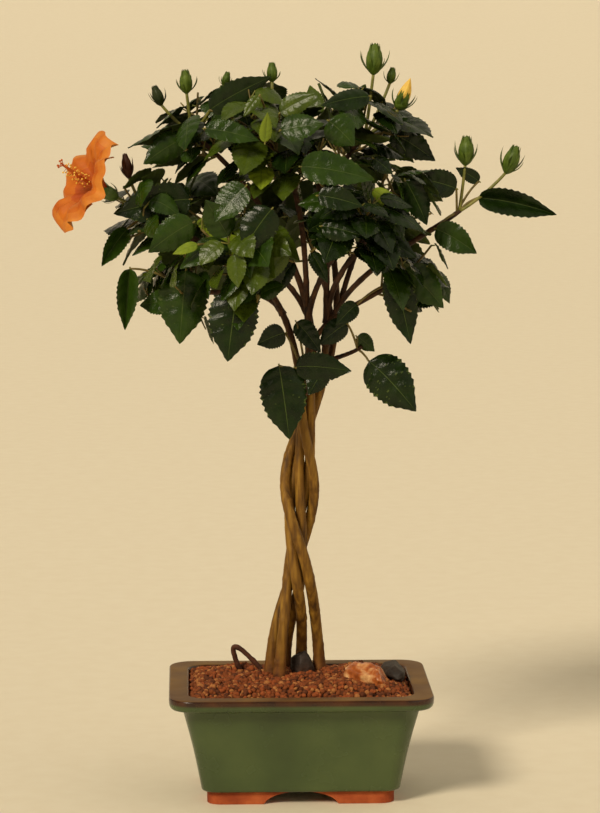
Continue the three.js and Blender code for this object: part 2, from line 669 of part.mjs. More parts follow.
// A twig that leaves a point along one direction and bends to another.
function twigLine(from, control, to, steps, radius, tipRadius) {
  const points = [];
  const radii = [];
  for (let i = 0; i <= steps; i += 1) {
    const t = i / steps;
    const a = from.clone().lerp(control, t);
    const b = control.clone().lerp(to, t);
    points.push(a.lerp(b, t));
    radii.push(mix(radius, tipRadius, t));
  }
  return { points, radii };
}

// The stem of a mass, and the leaves, buds and bloom that have a place of their own.
function startMass(limb) {
  const mass = { limb, twigs: [], leaves: [], buds: [], bloom: null };
  const start = limb.entry + (limb.low ? 0 : GAP / limb.curve[0].distanceTo(limb.curve[3]));
  mass.twigs.push(stretch(limb, start, 1, 5));

  for (const row of OUTLINE_LEAVES.filter((leaf) => leaf.mass === limb.name)) {
    const foot = vec(row.foot);
    const tip = vec(row.tip);
    const root = bezier(limb.curve, mix(limb.entry, 1, 0.86));
    const control = root.clone().lerp(foot, 0.5).addScaledVector(UP, 0.18 * root.distanceTo(foot));
    mass.twigs.push(twigLine(root, control, foot, 2, SHOOT_RADIUS, SHOOT_TIP_RADIUS));
    const end = tip.clone().sub(foot).normalize();
    const bent = end.clone().addScaledVector(UP, 0.35).normalize();
    const length = tip.distanceTo(foot);
    const stalk = foot.clone().addScaledVector(end, -1.5);
    const leaf = bladeBetween(stalk, foot, bent, end, FRONT, length, row.width);
    leaf.tip.copy(tip);
    mass.leaves.push(leaf);
  }

  for (const row of BUDS.filter((bud) => bud.mass === limb.name)) {
    const tip = vec(row.tip);
    const root = bezier(limb.curve, mix(limb.entry, 1, 0.95));
    const rise = tip.clone().sub(root).normalize().addScaledVector(UP, 0.9).normalize();
    const foot = tip.clone().addScaledVector(rise, -BUD_LENGTH * row.size);
    const control = root.clone().lerp(foot, 0.55).addScaledVector(UP, -0.1 * root.distanceTo(foot));
    mass.twigs.push(twigLine(root, control, foot, 3, SHOOT_RADIUS, PEDICEL_RADIUS));
    mass.buds.push({ foot, axis: rise, size: row.size });
  }

  if (BLOOM.mass === limb.name) {
    const calyx = vec(BLOOM.calyx);
    const axis = vec(BLOOM.axis).normalize();
    const root = bezier(limb.curve, mix(limb.entry, 1, 0.9));
    const control = calyx.clone().addScaledVector(axis, -0.4 * root.distanceTo(calyx));
    mass.twigs.push(twigLine(root, control, calyx, 3, SHOOT_RADIUS, SHOOT_RADIUS));
    mass.bloom = { calyx, axis };
  }
  return mass;
}

// What other masses have placed, which the shoots and leaves of a mass keep clear of.
function placedElsewhere(limb, masses) {
  const others = masses.filter((mass) => mass.limb !== limb);
  return {
    wood: others.flatMap((mass) => mass.twigs.slice(1).flatMap((twig) => finer(twig.points))),
    leaves: others.flatMap((mass) => mass.placed),
  };
}

// The shoots of a mass and the leaves on them, wherever there is room.
function growShoots(mass, limbs, bare, elsewhere) {
  const { limb } = mass;
  const random = seeded(limb.seed);
  const outward = vec(limb.home).sub(vec(CROWN_MIDDLE)).normalize();
  const twigsElsewhere = elsewhere.wood.map((point) => ({ point, radius: SHOOT_RADIUS, owner: null }));
  const wood = [...bare, ...twigsElsewhere];
  const shoots = [];
  for (let s = 0; s < limb.shoots; s += 1) {
    const t = mix(limb.entry, 1, s === 0 ? 1 : mix(0.15, 1, s / limb.shoots));
    const root = bezier(limb.curve, t);
    const axis = bezierTangent(limb.curve, t);
    const radial = perpendicular(axis, s * GOLDEN_ANGLE + random(0, 1));
    const lift = random(-0.1, 0.6);
    const length = random(SHOOT_LENGTH[0], SHOOT_LENGTH[1]);
    const aim = axis.clone().multiplyScalar(s === 0 ? 1.2 : 0.4)
      .addScaledVector(radial, s === 0 ? 0.2 : 1)
      .addScaledVector(outward, 0.25)
      .addScaledVector(UP, lift)
      .normalize();
    const end = root.clone().addScaledVector(aim, length);
    const control = root.clone().addScaledVector(aim, 0.5 * length).addScaledVector(UP, -0.12 * length);
    const line = twigLine(root, control, end, 2, SHOOT_RADIUS, SHOOT_TIP_RADIUS);
    const points = finer(line.points);
    const fits = insideCell(limb, end, limbs) && insideCrown(end)
      && clearOfWood(points, wood, SHOOT_RADIUS + 1, limb.name)
      && !elsewhere.leaves.some((leaf) => points.some((p) => nearLeaf(leaf, p, TWIG_CLEARANCE)));
    if (!fits) continue;
    mass.twigs.push(line);
    shoots.push({ number: s, root, control, end, aim, line, filled: new Set() });
  }
  for (let attempt = 0; attempt < ATTEMPTS; attempt += 1) {
    for (const shoot of shoots) {
      for (let place = 0; place < LEAVES_ON_SHOOT; place += 1) {
        if (shoot.filled.has(place)) continue;
        const leaf = leafOnShoot(limb, shoot, place, attempt, outward);
        if (!leafFits(leaf, mass, limbs, wood, elsewhere.leaves)) continue;
        mass.leaves.push(leaf);
        shoot.filled.add(place);
      }
    }
  }
  const bareShoots = shoots.filter((shoot) => shoot.filled.size === 0).map((shoot) => shoot.line);
  mass.twigs = mass.twigs.filter((twig) => !bareShoots.includes(twig));
}

// Every mass. What has a place of its own comes first, so that the rest grows round it.
function growMasses(limbs, bare) {
  const masses = limbs.map(startMass);
  for (const mass of masses) mass.placed = [...mass.leaves];
  const elsewhere = limbs.map((limb) => placedElsewhere(limb, masses));
  masses.forEach((mass, i) => growShoots(mass, limbs, bare, elsewhere[i]));
  return masses;
}

// A leaf of a shoot: they stand round it by the golden angle, smaller towards its tip, and droop outwards.
function leafOnShoot(limb, shoot, place, attempt, outward) {
  const random = seeded(limb.seed * 1000 + shoot.number * 100 + place * 10 + attempt);
  const along = mix(0.25, 1, place / (LEAVES_ON_SHOOT - 1));
  const around = perpendicular(shoot.aim, place * GOLDEN_ANGLE + attempt * 1.3 + random(-0.5, 0.5));
  const droop = random(DROOP[0], DROOP[1]);
  const size = random(0.8, 1.1) * mix(1, 0.75, along ** 3) * (1 - ATTEMPT_SHRINK * attempt);
  const roll = random(-0.5, 0.5);
  const first = shoot.root.clone().lerp(shoot.control, along);
  const root = first.lerp(shoot.control.clone().lerp(shoot.end, along), along);
  const out = around.multiplyScalar(0.9).addScaledVector(shoot.aim, 0.3).addScaledVector(outward, 0.5);
  const rise = out.clone().addScaledVector(UP, 0.3).normalize();
  const fall = out.normalize().addScaledVector(UP, -droop).normalize();
  const facing = UP.clone().multiplyScalar(0.6).addScaledVector(outward, 0.8);
  facing.addScaledVector(perpendicular(fall, 0), roll).normalize();
  const length = LEAF_LENGTH * size;
  return leafFrom(root, rise, fall, facing, PETIOLE * size, length, length * LEAF_WIDTH_SHARE);
}

// A leaf keeps to its mass's own space, clear of other wood and of the mass's twigs and other leaves.
function leafFits(leaf, mass, limbs, wood, placed) {
  const points = leafPoints(leaf);
  if (!points.every((p) => insideCell(mass.limb, p, limbs) && insideCrown(p))) return false;
  if (wood.some(({ point, radius }) => nearLeaf(leaf, point, radius + LIMB_CLEARANCE))) return false;
  const twigPoints = mass.twigs.flatMap((twig) => finer(twig.points));
  const crossed = twigPoints.some((point) => {
    return point.distanceTo(leaf.root) > ROOT_ZONE && nearLeaf(leaf, point, TWIG_CLEARANCE);
  });
  if (crossed) return false;
  const leafSpots = [...mass.leaves, ...placed].flatMap(leafPoints);
  return !leafSpots.some((point) => nearLeaf(leaf, point, LEAF_CLEARANCE));
}

// A line of points with more points between them, no further apart than the test step.
function finer(line) {
  const points = [line[0]];
  for (let i = 1; i < line.length; i += 1) {
    const pieces = Math.ceil(line[i].distanceTo(line[i - 1]) / TEST_STEP);
    for (let k = 1; k <= pieces; k += 1) points.push(line[i - 1].clone().lerp(line[i], k / pieces));
  }
  return points;
}

// Solids of the foliage

// Three-cornered sections along the stalk and blade, flat above with a keel below, that end in a point.
function bladeGeometry(stations, tip, side) {
  const rings = stations.map(({ middle, half, keel, normal }) => [
    middle.clone().addScaledVector(side, -half).addScaledVector(normal, keel / 2),
    middle.clone().addScaledVector(side, half).addScaledVector(normal, keel / 2),
    middle.clone().addScaledVector(normal, -keel),
  ]);
  rings.push([tip, tip, tip]);
  return loft(rings);
}

function leafGeometry(leaf) {
  const along = leaf.tip.clone().sub(leaf.foot).normalize();
  const normal = leaf.side.clone().cross(along).normalize();
  const stations = [
    { middle: leaf.root, half: PETIOLE_ROOT, keel: PETIOLE_ROOT, normal },
    { middle: leaf.wide, half: leaf.width / 2, keel: LEAF_THICKNESS / 1.5, normal },
  ];
  return bladeGeometry(stations, leaf.tip, leaf.side);
}

function budGeometry(bud) {
  const profile = [[-0.06, 0.22], [0.12, 0.8], [0.42, 1], [0.78, 0.6], [1, 0.12]];
  const across = perpendicular(bud.axis, 0);
  const other = bud.axis.clone().cross(across);
  const rings = profile.map(([along, share]) => Array.from({ length: 5 }, (_, k) => {
    const angle = (2 * Math.PI * k) / 5;
    const radius = BUD_RADIUS * bud.size * share;
    return bud.foot.clone()
      .addScaledVector(bud.axis, BUD_LENGTH * bud.size * along)
      .addScaledVector(across, radius * Math.cos(angle))
      .addScaledVector(other, radius * Math.sin(angle));
  }));
  return loft(rings);
}

// A funnel with five lobes that opens from the calyx, and the column of stamens in its middle.
function bloomGeometries(bloom) {
  const { calyx, axis } = bloom;
  const across = perpendicular(axis, 0);
  const other = axis.clone().cross(across);
  const rings = BLOOM_PROFILE.map(([along, radius, lobes, wave]) => {
    return Array.from({ length: 3 * PETALS }, (_, k) => {
      const angle = (2 * Math.PI * k) / (3 * PETALS);
      const reach = radius * (1 + lobes * Math.cos(PETALS * angle));
      const rise = along + wave * Math.cos(PETALS * angle + 1);
      return calyx.clone()
        .addScaledVector(axis, rise)
        .addScaledVector(across, reach * Math.cos(angle))
        .addScaledVector(other, reach * Math.sin(angle));
    });
  });
  const column = [0, 0.6, 1].map((share) => calyx.clone().addScaledVector(axis, 6 + share * COLUMN_LENGTH));
  return [
    budGeometry({ foot: calyx.clone().addScaledVector(axis, -2), axis, size: 0.72 }),
    loft(rings),
    limbGeometry(column, [1.8, 1.4, 2.4], 5),
  ];
}

function makeMass(mass) {
  const { limb } = mass;
  const [stem, ...twigs] = mass.twigs;
  const parts = [
    limbGeometry(stem.points, stem.radii, MASS_STEM_SIDES),
    ...twigs.map((twig) => limbGeometry(twig.points, twig.radii, TWIG_SIDES)),
    ...mass.leaves.map(leafGeometry),
    ...mass.buds.map(budGeometry),
    ...(mass.bloom ? bloomGeometries(mass.bloom) : []),
  ];
  let solid = fuse(parts);
  if (limb.low) {
    const carrier = limb.leader ? boughSleeve(limb.leader) : stemSleeve(limb.stem);
    solid = largestBody(solid.subtract(carrier));
  }
  return meshOf(`leaves_${limb.name}`, geometryOf(solid), COLOURS.leaf, 0.45);
}

// The upper part of a stem with the gap round it, which cuts the root of a twig to fit the stem.
function stemSleeve(stem) {
  return solidOf(stemGeometry(stem, FORK_Z - 4 * STEM_STEP, FORK_Z, 2 * GAP));
}

// A leader with the gap round it, which cuts what it carries to fit.
function boughSleeve(leader) {
  const { points, radii } = stretch(leader, 0, leader.entry, BOUGH_STEPS);
  const wider = radii.map((radius) => radius + GAP / Math.cos(Math.PI / BOUGH_SIDES));
  return solidOf(limbGeometry(points, wider, BOUGH_SIDES));
}

// A leader stands on its stem's flat end. A side bough is cut to fit round the leader that carries it.
function makeBough(limb) {
  const { points, radii } = stretch(limb, 0, limb.entry, BOUGH_STEPS);
  let solid = solidOf(limbGeometry(points, radii, BOUGH_SIDES));
  if (limb.leader) {
    solid = largestBody(solid.subtract(boughSleeve(limb.leader)));
  } else {
    solid = solid.trimByPlane([0, 0, 1], FORK_Z + GAP);
  }
  return meshOf(`bough_${limb.name}`, geometryOf(solid), COLOURS.bark, 0.8);
}

// A thin root that rises out of the soil and bends back into it beside the trunk.
function makeRootArch() {
  const [fromX, fromY] = ROOT_ARCH.from;
  const [toX, toY] = ROOT_ARCH.to;
  const line = twigLine(
    new THREE.Vector3(fromX, fromY, SOIL_TOP_Z - 4), vec(ROOT_ARCH.peak),
    new THREE.Vector3(toX, toY, SOIL_TOP_Z - 4), 10, ROOT_ARCH.radius, ROOT_ARCH.radius,
  );
  const arch = limbGeometry(line.points, line.radii, BOUGH_SIDES);
  return meshOf("root_arch", geometryOf(cutBySoil(arch)), COLOURS.twig, 0.85);
}

const limbs = planLimbs();
const bare = barePoints(limbs);
const plant = new THREE.Group();
plant.add(makePot(), ...makeFeet(), makeSoil(), makeRootArch());
for (const [name, stone] of Object.entries(STONES)) plant.add(makeStone(name, stone));
for (let stem = 0; stem < RIBBON_PLACES.length; stem += 1) plant.add(makeStem(stem));
for (const mass of growMasses(limbs, bare)) {
  if (!mass.limb.low) plant.add(makeBough(mass.limb));
  plant.add(makeMass(mass));
}
const outline = new THREE.Box3().setFromObject(plant);
const middle = outline.getCenter(new THREE.Vector3());
plant.position.set(-middle.x, -middle.y, -outline.min.z);

export default plant;
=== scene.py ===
"""Looks of a potted hibiscus bonsai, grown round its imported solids.

Sizes are millimetres in the plant's own frame, centred on the pot, and become metres on the meshes.
Colours of surfaces are screen colours, 0 to 255.
"""
import math

import bmesh
import bpy
import numpy as np
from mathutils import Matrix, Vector


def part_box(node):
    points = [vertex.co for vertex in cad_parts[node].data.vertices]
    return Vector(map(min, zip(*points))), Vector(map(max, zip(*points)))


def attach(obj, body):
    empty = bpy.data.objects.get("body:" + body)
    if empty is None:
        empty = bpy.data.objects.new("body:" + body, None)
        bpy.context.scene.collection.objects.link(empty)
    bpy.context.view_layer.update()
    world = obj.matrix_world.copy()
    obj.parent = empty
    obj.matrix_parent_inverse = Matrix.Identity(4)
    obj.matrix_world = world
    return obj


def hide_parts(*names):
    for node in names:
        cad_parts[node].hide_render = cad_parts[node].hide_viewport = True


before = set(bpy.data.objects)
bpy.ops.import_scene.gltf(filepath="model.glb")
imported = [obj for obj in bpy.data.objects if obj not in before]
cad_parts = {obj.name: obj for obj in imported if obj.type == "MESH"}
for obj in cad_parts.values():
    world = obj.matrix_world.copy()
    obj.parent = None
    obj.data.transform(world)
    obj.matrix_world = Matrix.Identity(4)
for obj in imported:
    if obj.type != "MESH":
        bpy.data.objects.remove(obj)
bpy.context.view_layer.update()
MM = 0.001
POT_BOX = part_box("pot")
SHIFT = np.array([(POT_BOX[0][0] + POT_BOX[1][0]) / 2, (POT_BOX[0][1] + POT_BOX[1][1]) / 2, 0.0])

UP = np.array([0.0, 0.0, 1.0])
FRONT = np.array([0.0, -1.0, 0.0])
RIGHT = np.array([1.0, 0.0, 0.0])
FULL_TURN = 2 * math.pi
PHASES = (0, 6.28)
GOLDEN_ANGLE = math.pi * (3 - math.sqrt(5))

# Camera, fitted to the pot and trunk in a photograph of 600 by 813 pixels
EYE = np.array([-90.0, -2598.0, 645.0])
AIM = np.array([0.8, 0.0, 313.0])
LENS_MM = 145.0
SENSOR_MM = 36.0

# Pot
RIM_LENGTH = 210
RIM_WIDTH = 160
POT_HEIGHT = 90
FOOT_HEIGHT = 10
LIP_HEIGHT = 10.5
LIP_OVERHANG = 11
BODY_INSET = LIP_OVERHANG + 14.5
BODY_HOLLOW = 0.9
BODY_STEPS = 8
WALL = 7
RIM_FLAT = 15
EDGE_ROUND = 1.6
INNER_ROUND = 2
BOTTOM_ROUND = 3.2
RIM_CORNER = 20
BODY_CORNER = 15
FLOOR_CORNER = 11
CORNER_STEPS = 12
CORNERS = ((1, 1), (-1, 1), (-1, -1), (1, -1))
FEET = ("foot_front_left", "foot_front_right", "foot_back_left", "foot_back_right")

# Soil
SOIL_EDGE_Z = 86.5
SOIL_TOP_Z = 94
SOIL_SLOPE = 20
SOIL_HEAPS = 1.7
HEAP_PITCH = 48
HEAP_MARGIN = 12
CAVITY_INSET = RIM_FLAT + EDGE_ROUND
CAVITY_Z = 70
SOIL_EDGE_INSET = CAVITY_INSET + 0.8
EARTH_RINGS = 24
EARTH_SIDE_STEPS = 14
EARTH_SUNK = 1.3

# Gravel: the share of each kind, and the tones that it wanders between
GRAVEL = {
    "gravel_brown": (0.38, (106, 52, 20), (138, 72, 31)),
    "gravel_red": (0.22, (124, 58, 24), (158, 82, 37)),
    "gravel_dark": (0.26, (72, 34, 14), (102, 52, 22)),
    "gravel_pale": (0.14, (150, 92, 47), (180, 119, 66)),
}
GRAIN_SPACING = 3.1
GRAIN_RADIUS = 2.0
GRAVEL_SEED = 11
GRAIN_JITTER = (-1.3, 1.3)
GRAIN_SIZES = (0.7, 1.3)
GRAIN_SHAPES = (0.75, 1.2)
GRAIN_LUMPS = (0.85, 1.12)
GRAIN_TILT = (-0.7, 0.7)
GRAIN_LIFT = (-0.8, 0.6)
GRAIN_SUNK = 0.9
GRAIN_MARGIN = 1.5
GRAIN_CORNER = 13
STEM_CLEARANCE = 4.5

# Stones: breaks is the count of flat faces, crags the height of roughness, mottling the scale of tones
STONES = {
    "stone_orange": {
        "at": (54, -14), "half": (29, 12, 13), "turn": -1, "seed": 3, "breaks": 16, "crags": 0.014,
        "slot": "warm_stone", "tones": ((112, 50, 16), (172, 92, 38), (230, 182, 124)),
        "mottling": 110, "gloss": (0.3, 0.55),
    },
    # stone_dark is a low near-black rock that stands for the shadow in the soil's back right corner: painted
    # shadow. stone_grey is a real dark stone.
    "stone_dark": {
        "at": (77, 12), "half": (9, 26, 9), "turn": 0.1, "seed": 8, "breaks": 10, "crags": 0.006,
        "slot": "dark_stone", "tones": ((20, 12, 6), (42, 27, 14), (30, 20, 12)),
        "mottling": 60, "gloss": (0.6, 0.85),
    },
    "stone_grey": {
        "at": (2.5, 18.5), "half": (11, 7, 17), "turn": 0, "seed": 5, "breaks": 12, "crags": 0.006,
        "slot": "dark_stone", "tones": ((22, 13, 8), (38, 24, 15), (58, 36, 22)),
        "mottling": 60, "gloss": (0.5, 0.75),
    },
}
STONE_SUNK = 6
BREAK_REACH = (0.7, 0.92)
# Waves over a stone: how many, and how fine
LUMP_WAVES = (14, 1.6)
CRAG_WAVES = (16, 9)

# Trunk
FORK_Z = 326
LOWER_NECK_Z = 196
HALF_TURN = 103
TWIST_RATE = -math.pi / HALF_TURN
FOOT_TWIST = math.pi
RIBBON_PLACES = (-1, -0.5, 0, 0.5, 1)
RIBBON_HALF_WIDTH = 11.7
NECK_NARROWING = 1.2
RIBBON_HALF_DEPTH = 2.9
DEPTH_GAIN = 3.3
STEM_FEET = ((17.5, 27), (3, 34), (-10, 38), (-15.5, 2.5), (-22.5, 13))
SPLAY_Z = 178
LEAN = (-2, 11.5)
TRUNK_DEPTH = 6
STEM_RADIUS_LOW = 4.4
STEM_RADIUS_FORK = 3.6
STEM_SWELLING = 0.25
ROOT_FLARE = 1.5
ROOT_FLARE_HEIGHT = 9
ROOT_ARCH = ((-46, 26, 90), (-66, 26, 136), (-26, 20, 90))
ROOT_ARCH_RADIUS = 2
STEM_SIDES = 20
STEM_STEP = 1.5
STEM_SUNK = 4
LEADER_STEPS = 110
BOUGH_SIDES = 12
BOUGH_RINGS = 80
ROOT_SIDES = 14
LEADER_FADE = 18
BOUGH_FADE = 5
# Bark: height of its relief, seed, distance between joints
STEM_BARK = (0.3, 40, 34)
BOUGH_BARK = (0.24, 80, 22)
ROOT_BARK = (0.3, 99, 16)
# Waves in the bark: how many, lobes round the limb, pitch along it, height
BARK_WAVES = ((9, (2, 8), (-0.06, 0.06), 0.16), (7, (0, 4), (0.3, 1.6), 0.09))

# Boughs: name, stem, how far along the stem's leader it leaves, middle of its mass, shoots, seed.
# A bough climbs along its parent's line for a share of its reach before it bends out.
CLIMB = 0.35
FAR_CLIMBS = {"flower_side": 0.62}
BOUGHS = (
    ("back_top", 0, 0, (4, 52, 523), 7, 12),
    ("back_right", 0, 0.2, (66, 66, 465), 7, 21),
    ("back_low", 0, 0.08, (8, 82, 450), 7, 31),
    ("top_right", 1, 0, (54, -4, 530), 7, 41),
    ("right_side", 1, 0.24, (84, -12, 474), 7, 51),
    ("right_spur", 1, 0.16, (128, -6, 470), 0, 52),
    ("left_top", 2, 0, (-86, 4, 532), 7, 61),
    ("back_left", 2, 0.18, (-72, 64, 459), 7, 71),
    ("top_left", 3, 0, (-24, -30, 524), 7, 81),
    ("front_right", 3, 0.2, (42, -64, 460), 7, 91),
    ("right_low", 3, 0.1, (76, -34, 417), 7, 101),
    ("flower_side", 4, 0, (-122, -26, 470), 7, 111),
    ("left_low", 4, 0.22, (-98, -34, 415), 7, 121),
    ("front_left", 4, 0.15, (-48, -66, 438), 7, 131),
)
# Low twigs: name, stem, how far up it, how far along its leader where they leave above the fork, middle, seed
LOW_TWIGS = (
    ("low_front", 4, 0.95, 0, (6, -34, 335), 141),
    ("low_right", 1, 0, 0.1, (50, -8, 362), 151),
)
BOUGH_RADIUS = 2.7
SIDE_BOUGH_RADIUS = 2.4
BOUGH_TIP_RADIUS = 2.1
TWIG_TIP_RADIUS = 1.6
BOUGH_STEPS = 6
BOUGH_SHARE = 0.55
GAP = 0.3

# Foliage
CROWN_MIDDLE = np.array([-6.0, 0.0, 452.0])
CROWN_RADII = np.array([152.0, 122.0, 132.0])
CROWN_DROP = 100
OPEN_ARCH = {"middle": (24, 345), "radii": (62, 90)}
LEAF_LENGTH = 52
LEAF_WIDTH_SHARE = 0.66
PETIOLE = 14
WIDEST = 0.38
SHOOT_LENGTH = (18, 42)
SHOOT_SAG = 0.12
SHOOT_RADIUS = 1.05
SHOOT_TIP_RADIUS = 0.85
SHOOT_CLEARANCE = SHOOT_RADIUS + 1
# How far along the stem of a mass the marked leaves, buds and bloom leave it
LEAF_ROOT = 0.86
BUD_ROOT = 0.95
BLOOM_ROOT = 0.9
LEAVES_ON_SHOOT = 8
FIRST_LEAF = 0.25
LEAF_SIZE = (0.8, 1.1)
CELL_MARGIN = 0.5
LIMB_CLEARANCE = 1.2
LEAF_CLEARANCE = 2
TWIG_CLEARANCE = 2
ROOT_ZONE = 6
LEAF_GRID = 3
TEST_STEP = 3
DROOP = (0.3, 1.5)
ROLL = (-0.5, 0.5)
ATTEMPTS = 6
ATTEMPT_SHRINK = 0.06
BUD_LENGTH = 23
BUD_RADIUS = 6
PEDICEL_RADIUS = 0.9
PEDICEL_GIRTH = 1.35

# Finer growth that only the looks have: twigs on the shoots, with smaller leaves
FINE_PLACES = (0.25, 0.5, 0.75, 0.95)
FINE_LENGTH = (9, 22)
FINE_SAG = 0.1
FINE_RADII = (0.8, 0.55)
FINE_LEAVES = 4
FINE_FIRST_LEAF = 0.35
FINE_SIZE = (0.62, 0.95)
FINE_CLEARANCE = 0.9
FINE_ATTEMPTS = 6
FINE_SEED = 7

# Leaves that only the looks have, seen in front: mass, foot and tip of the blade, width, tone.
# Each may slide along the line of sight to where it cuts the fewest others, and those give way to it.
# On the low leaves in front of the fork, tone 0, the deepest green, is painted shade.
FRONT_LEAVES = (
    ("top_left", (-75, -72, 538), (-33, -77, 529), 18, 1),
    ("top_left", (-33, -66, 563), (-45, -71, 547), 9, 2),
    ("top_left", (-29, -84, 528), (-27, -89, 551), 10, 3),
    ("top_left", (-17, -70, 550), (11, -75, 565), 17, 2),
    ("top_left", (-17, -84, 537), (16, -89, 542), 22, 1),
    ("top_right", (53, -52, 562), (15, -57, 555), 19, 0),
    ("top_right", (20, -76, 544), (40, -81, 525), 24, 1),
    ("front_right", (-2, -96, 510), (54, -101, 500), 27, 1),
    ("front_right", (11, -98, 488), (45, -103, 480), 19, 0),
    ("front_right", (14, -92, 464), (45, -97, 457), 19, 0),
    ("right_side", (56, -50, 514), (71, -55, 502), 14, 0),
    ("right_side", (82, -36, 496), (99, -41, 461), 21, 0),
    ("right_side", (55, -62, 490), (82, -67, 469), 12, 3),
    ("front_left", (-44, -92, 495), (-68, -97, 468), 25, 1),
    ("front_left", (-24, -98, 478), (-47, -103, 445), 28, 0),
    ("left_low", (-84, -72, 466), (-119, -77, 443), 25, 1),
    ("right_low", (52, -62, 457), (89, -67, 438), 24, 0),
    ("front_left", (-81, -88, 450), (-100, -93, 443), 9, 3),
    ("front_left", (-12, -74, 443), (-35, -79, 416), 16, 2),
    ("front_left", (-16, -64, 434), (-38, -69, 404), 21, 0),
    ("front_left", (-6, -48, 433), (-25, -53, 404), 14, 0),
    ("front_right", (8, -40, 440), (21, -45, 416), 12, 0),
)
FRONT_SLIDES = (0, -5, 5, -10, 10, -15, 15)
FRONT_CLEARANCE = 0.8
FRONT_LIFT = (0.1, 0.7)
FRONT_TURN = (-0.5, 0.5)
FRONT_SEED = 17

# Leaves that set the outline: mass, foot and tip of the blade, width, how far its halves fold up, tone
# On the low leaves under the crown, tone 0, the deepest green, stands for the shade they lie in: painted
# shade.
OUTLINE_LEAVES = (
    ("right_spur", (142, -6, 480), (204, -12, 467), 27, 0.7, 0),
    ("right_spur", (108, -12, 456), (140, -20, 437), 22, 0, 1),
    ("right_spur", (124, -14, 488), (89, -18, 497), 22, 0, 0),
    ("right_spur", (143, -2, 493), (124, -6, 504), 11, 0, 0),
    ("right_low", (72, -42, 425), (86, -48, 368), 25, 0, 0),
    ("right_low", (82, -40, 427), (112, -44, 396), 26, 0, 1),
    ("low_right", (55, -14, 351), (92, -26, 312), 35, 0, 0),
    ("low_right", (46, -8, 370), (60, -8, 358), 13, 0, 1),
    ("right_low", (45, -30, 398), (28, -36, 382), 15, 0, 0),
    ("low_right", (37, -24, 382), (15, -30, 366), 18, 0, 0),
    ("low_front", (-17, -34, 350), (-9, -40, 292), 36, 0, 0),
    ("low_front", (-4, -36, 349), (40, -40, 346), 23, 0, 0),
    ("low_front", (-12, -26, 375), (-34, -28, 366), 19, 0, 0),
    ("low_front", (-3, -28, 384), (16, -34, 360), 17, 0, 0),
    ("low_front", (20, -34, 348), (6, -40, 327), 18, 0, 0),
    ("flower_side", (-136, -32, 458), (-156, -36, 429), 22, 0.8, 1),
    ("left_low", (-134, -36, 427), (-138, -40, 379), 27, 0.9, 1),
    ("left_low", (-90, -50, 427), (-95, -58, 370), 38, 0, 1),
    ("front_left", (-50, -70, 413), (-58, -76, 358), 38, 0, 0),
    ("flower_side", (-86, -46, 482), (-146, -48, 471), 30, 0, 0),
    ("left_top", (-91, -16, 528), (-123, -20, 508), 22, 0, 1),
    ("top_left", (-71, -40, 551), (-23, -42, 577), 22, 0, 0),
    ("top_right", (72, -14, 532), (107, -18, 510), 22, 0, 0),
)

# Buds that stand out of the crown: mass, tip, size, kind
BUDS = (
    ("top_right", (60, -6, 604), 1.1, "green"),
    ("top_right", (75, 6, 584), 0.6, "green"),
    ("top_right", (87, -12, 574), 1.1, "opening"),
    ("right_spur", (133, -4, 531), 1.05, "green"),
    ("right_spur", (173, -8, 523), 1.05, "green"),
    ("left_top", (-90, -4, 583), 0.85, "green"),
    ("left_top", (-115, 2, 570), 0.75, "dark"),
    ("left_top", (-56, -18, 581), 0.55, "green"),
    ("top_left", (-22, -26, 589), 0.7, "green"),
    ("flower_side", (-138, -20, 518), 0.9, "red"),
)
# A bud's outline: height and radius, as shares of its length and of its widest
BUD_SHAPE = ((-0.07, 0.16), (-0.02, 0.4), (0.05, 0.68), (0.14, 0.9), (0.3, 1.05), (0.5, 1.05),
             (0.68, 0.9), (0.82, 0.62), (0.92, 0.34), (1.0, 0.02))
CALYX_STEPS = 7
BUD_TONES = {"green": 0, "opening": 0, "dark": 1, "red": 2}
BUD_GIRTHS = {"green": 1.0, "opening": 0.9, "dark": 0.95, "red": 0.74}
PETAL_TONE = 3
SEPALS = 5
BRACTS = 8
BUD_SIDES = 20
BUD_MOTTLING = 160
BUD_RELIEF = (0.0003, 500)
SEPAL_SHARE = 0.72
OPENING_SEPAL_SHARE = 0.45

# Bloom
BLOOM = {"mass": "flower_side", "calyx": (-147, -28, 484), "axis": (-0.84, -0.3, 0.43)}
BLOOM_CUP = ((-1, 1.2), (1, 3.0), (4, 5.0), (9, 5.6), (13, 5.2))
PETALS = 5
PETAL_GRID = 25
PETAL_FOOT = 2.5
PETAL_REACH = 41
PETAL_SPREAD = math.radians(46)
PETAL_BANDS = (5, 12, 20)
PETAL_SEED = 900
PETAL_MOTTLING = 70
PETAL_RELIEF = (0.0003, 300)
COLUMN_LENGTH = 38
COLUMN_STEPS = 16
STAMENS = 46
STAMEN_SEED = 77
STIGMAS = 5

# Leaves as meshes
LEAF_ROWS = np.linspace(0, 1, 25)
LEAF_COLUMNS = np.array([-1, -0.8, -0.55, -0.28, -0.02, 0.02, 0.28, 0.55, 0.8, 1])
VEIN_COLUMN = 4
SIDE_VEINS = 5
TOOTH = 0.05
LEAF_THICKNESS = 0.4
LEAVES_IN_PIECE = 220
BACK_DEPTH = 30
LEAF_SEEDS = 500
LEAF_MOTTLING = 90
LEAF_RELIEF = (0.0003, 700)
STALK_RADII = (0.75, 0.5)
STALK_SAG = 0.6
STALK_STEPS = 5
STALK_SIDES = 5
TWIG_STEPS = 10
TWIG_SIDES = 7
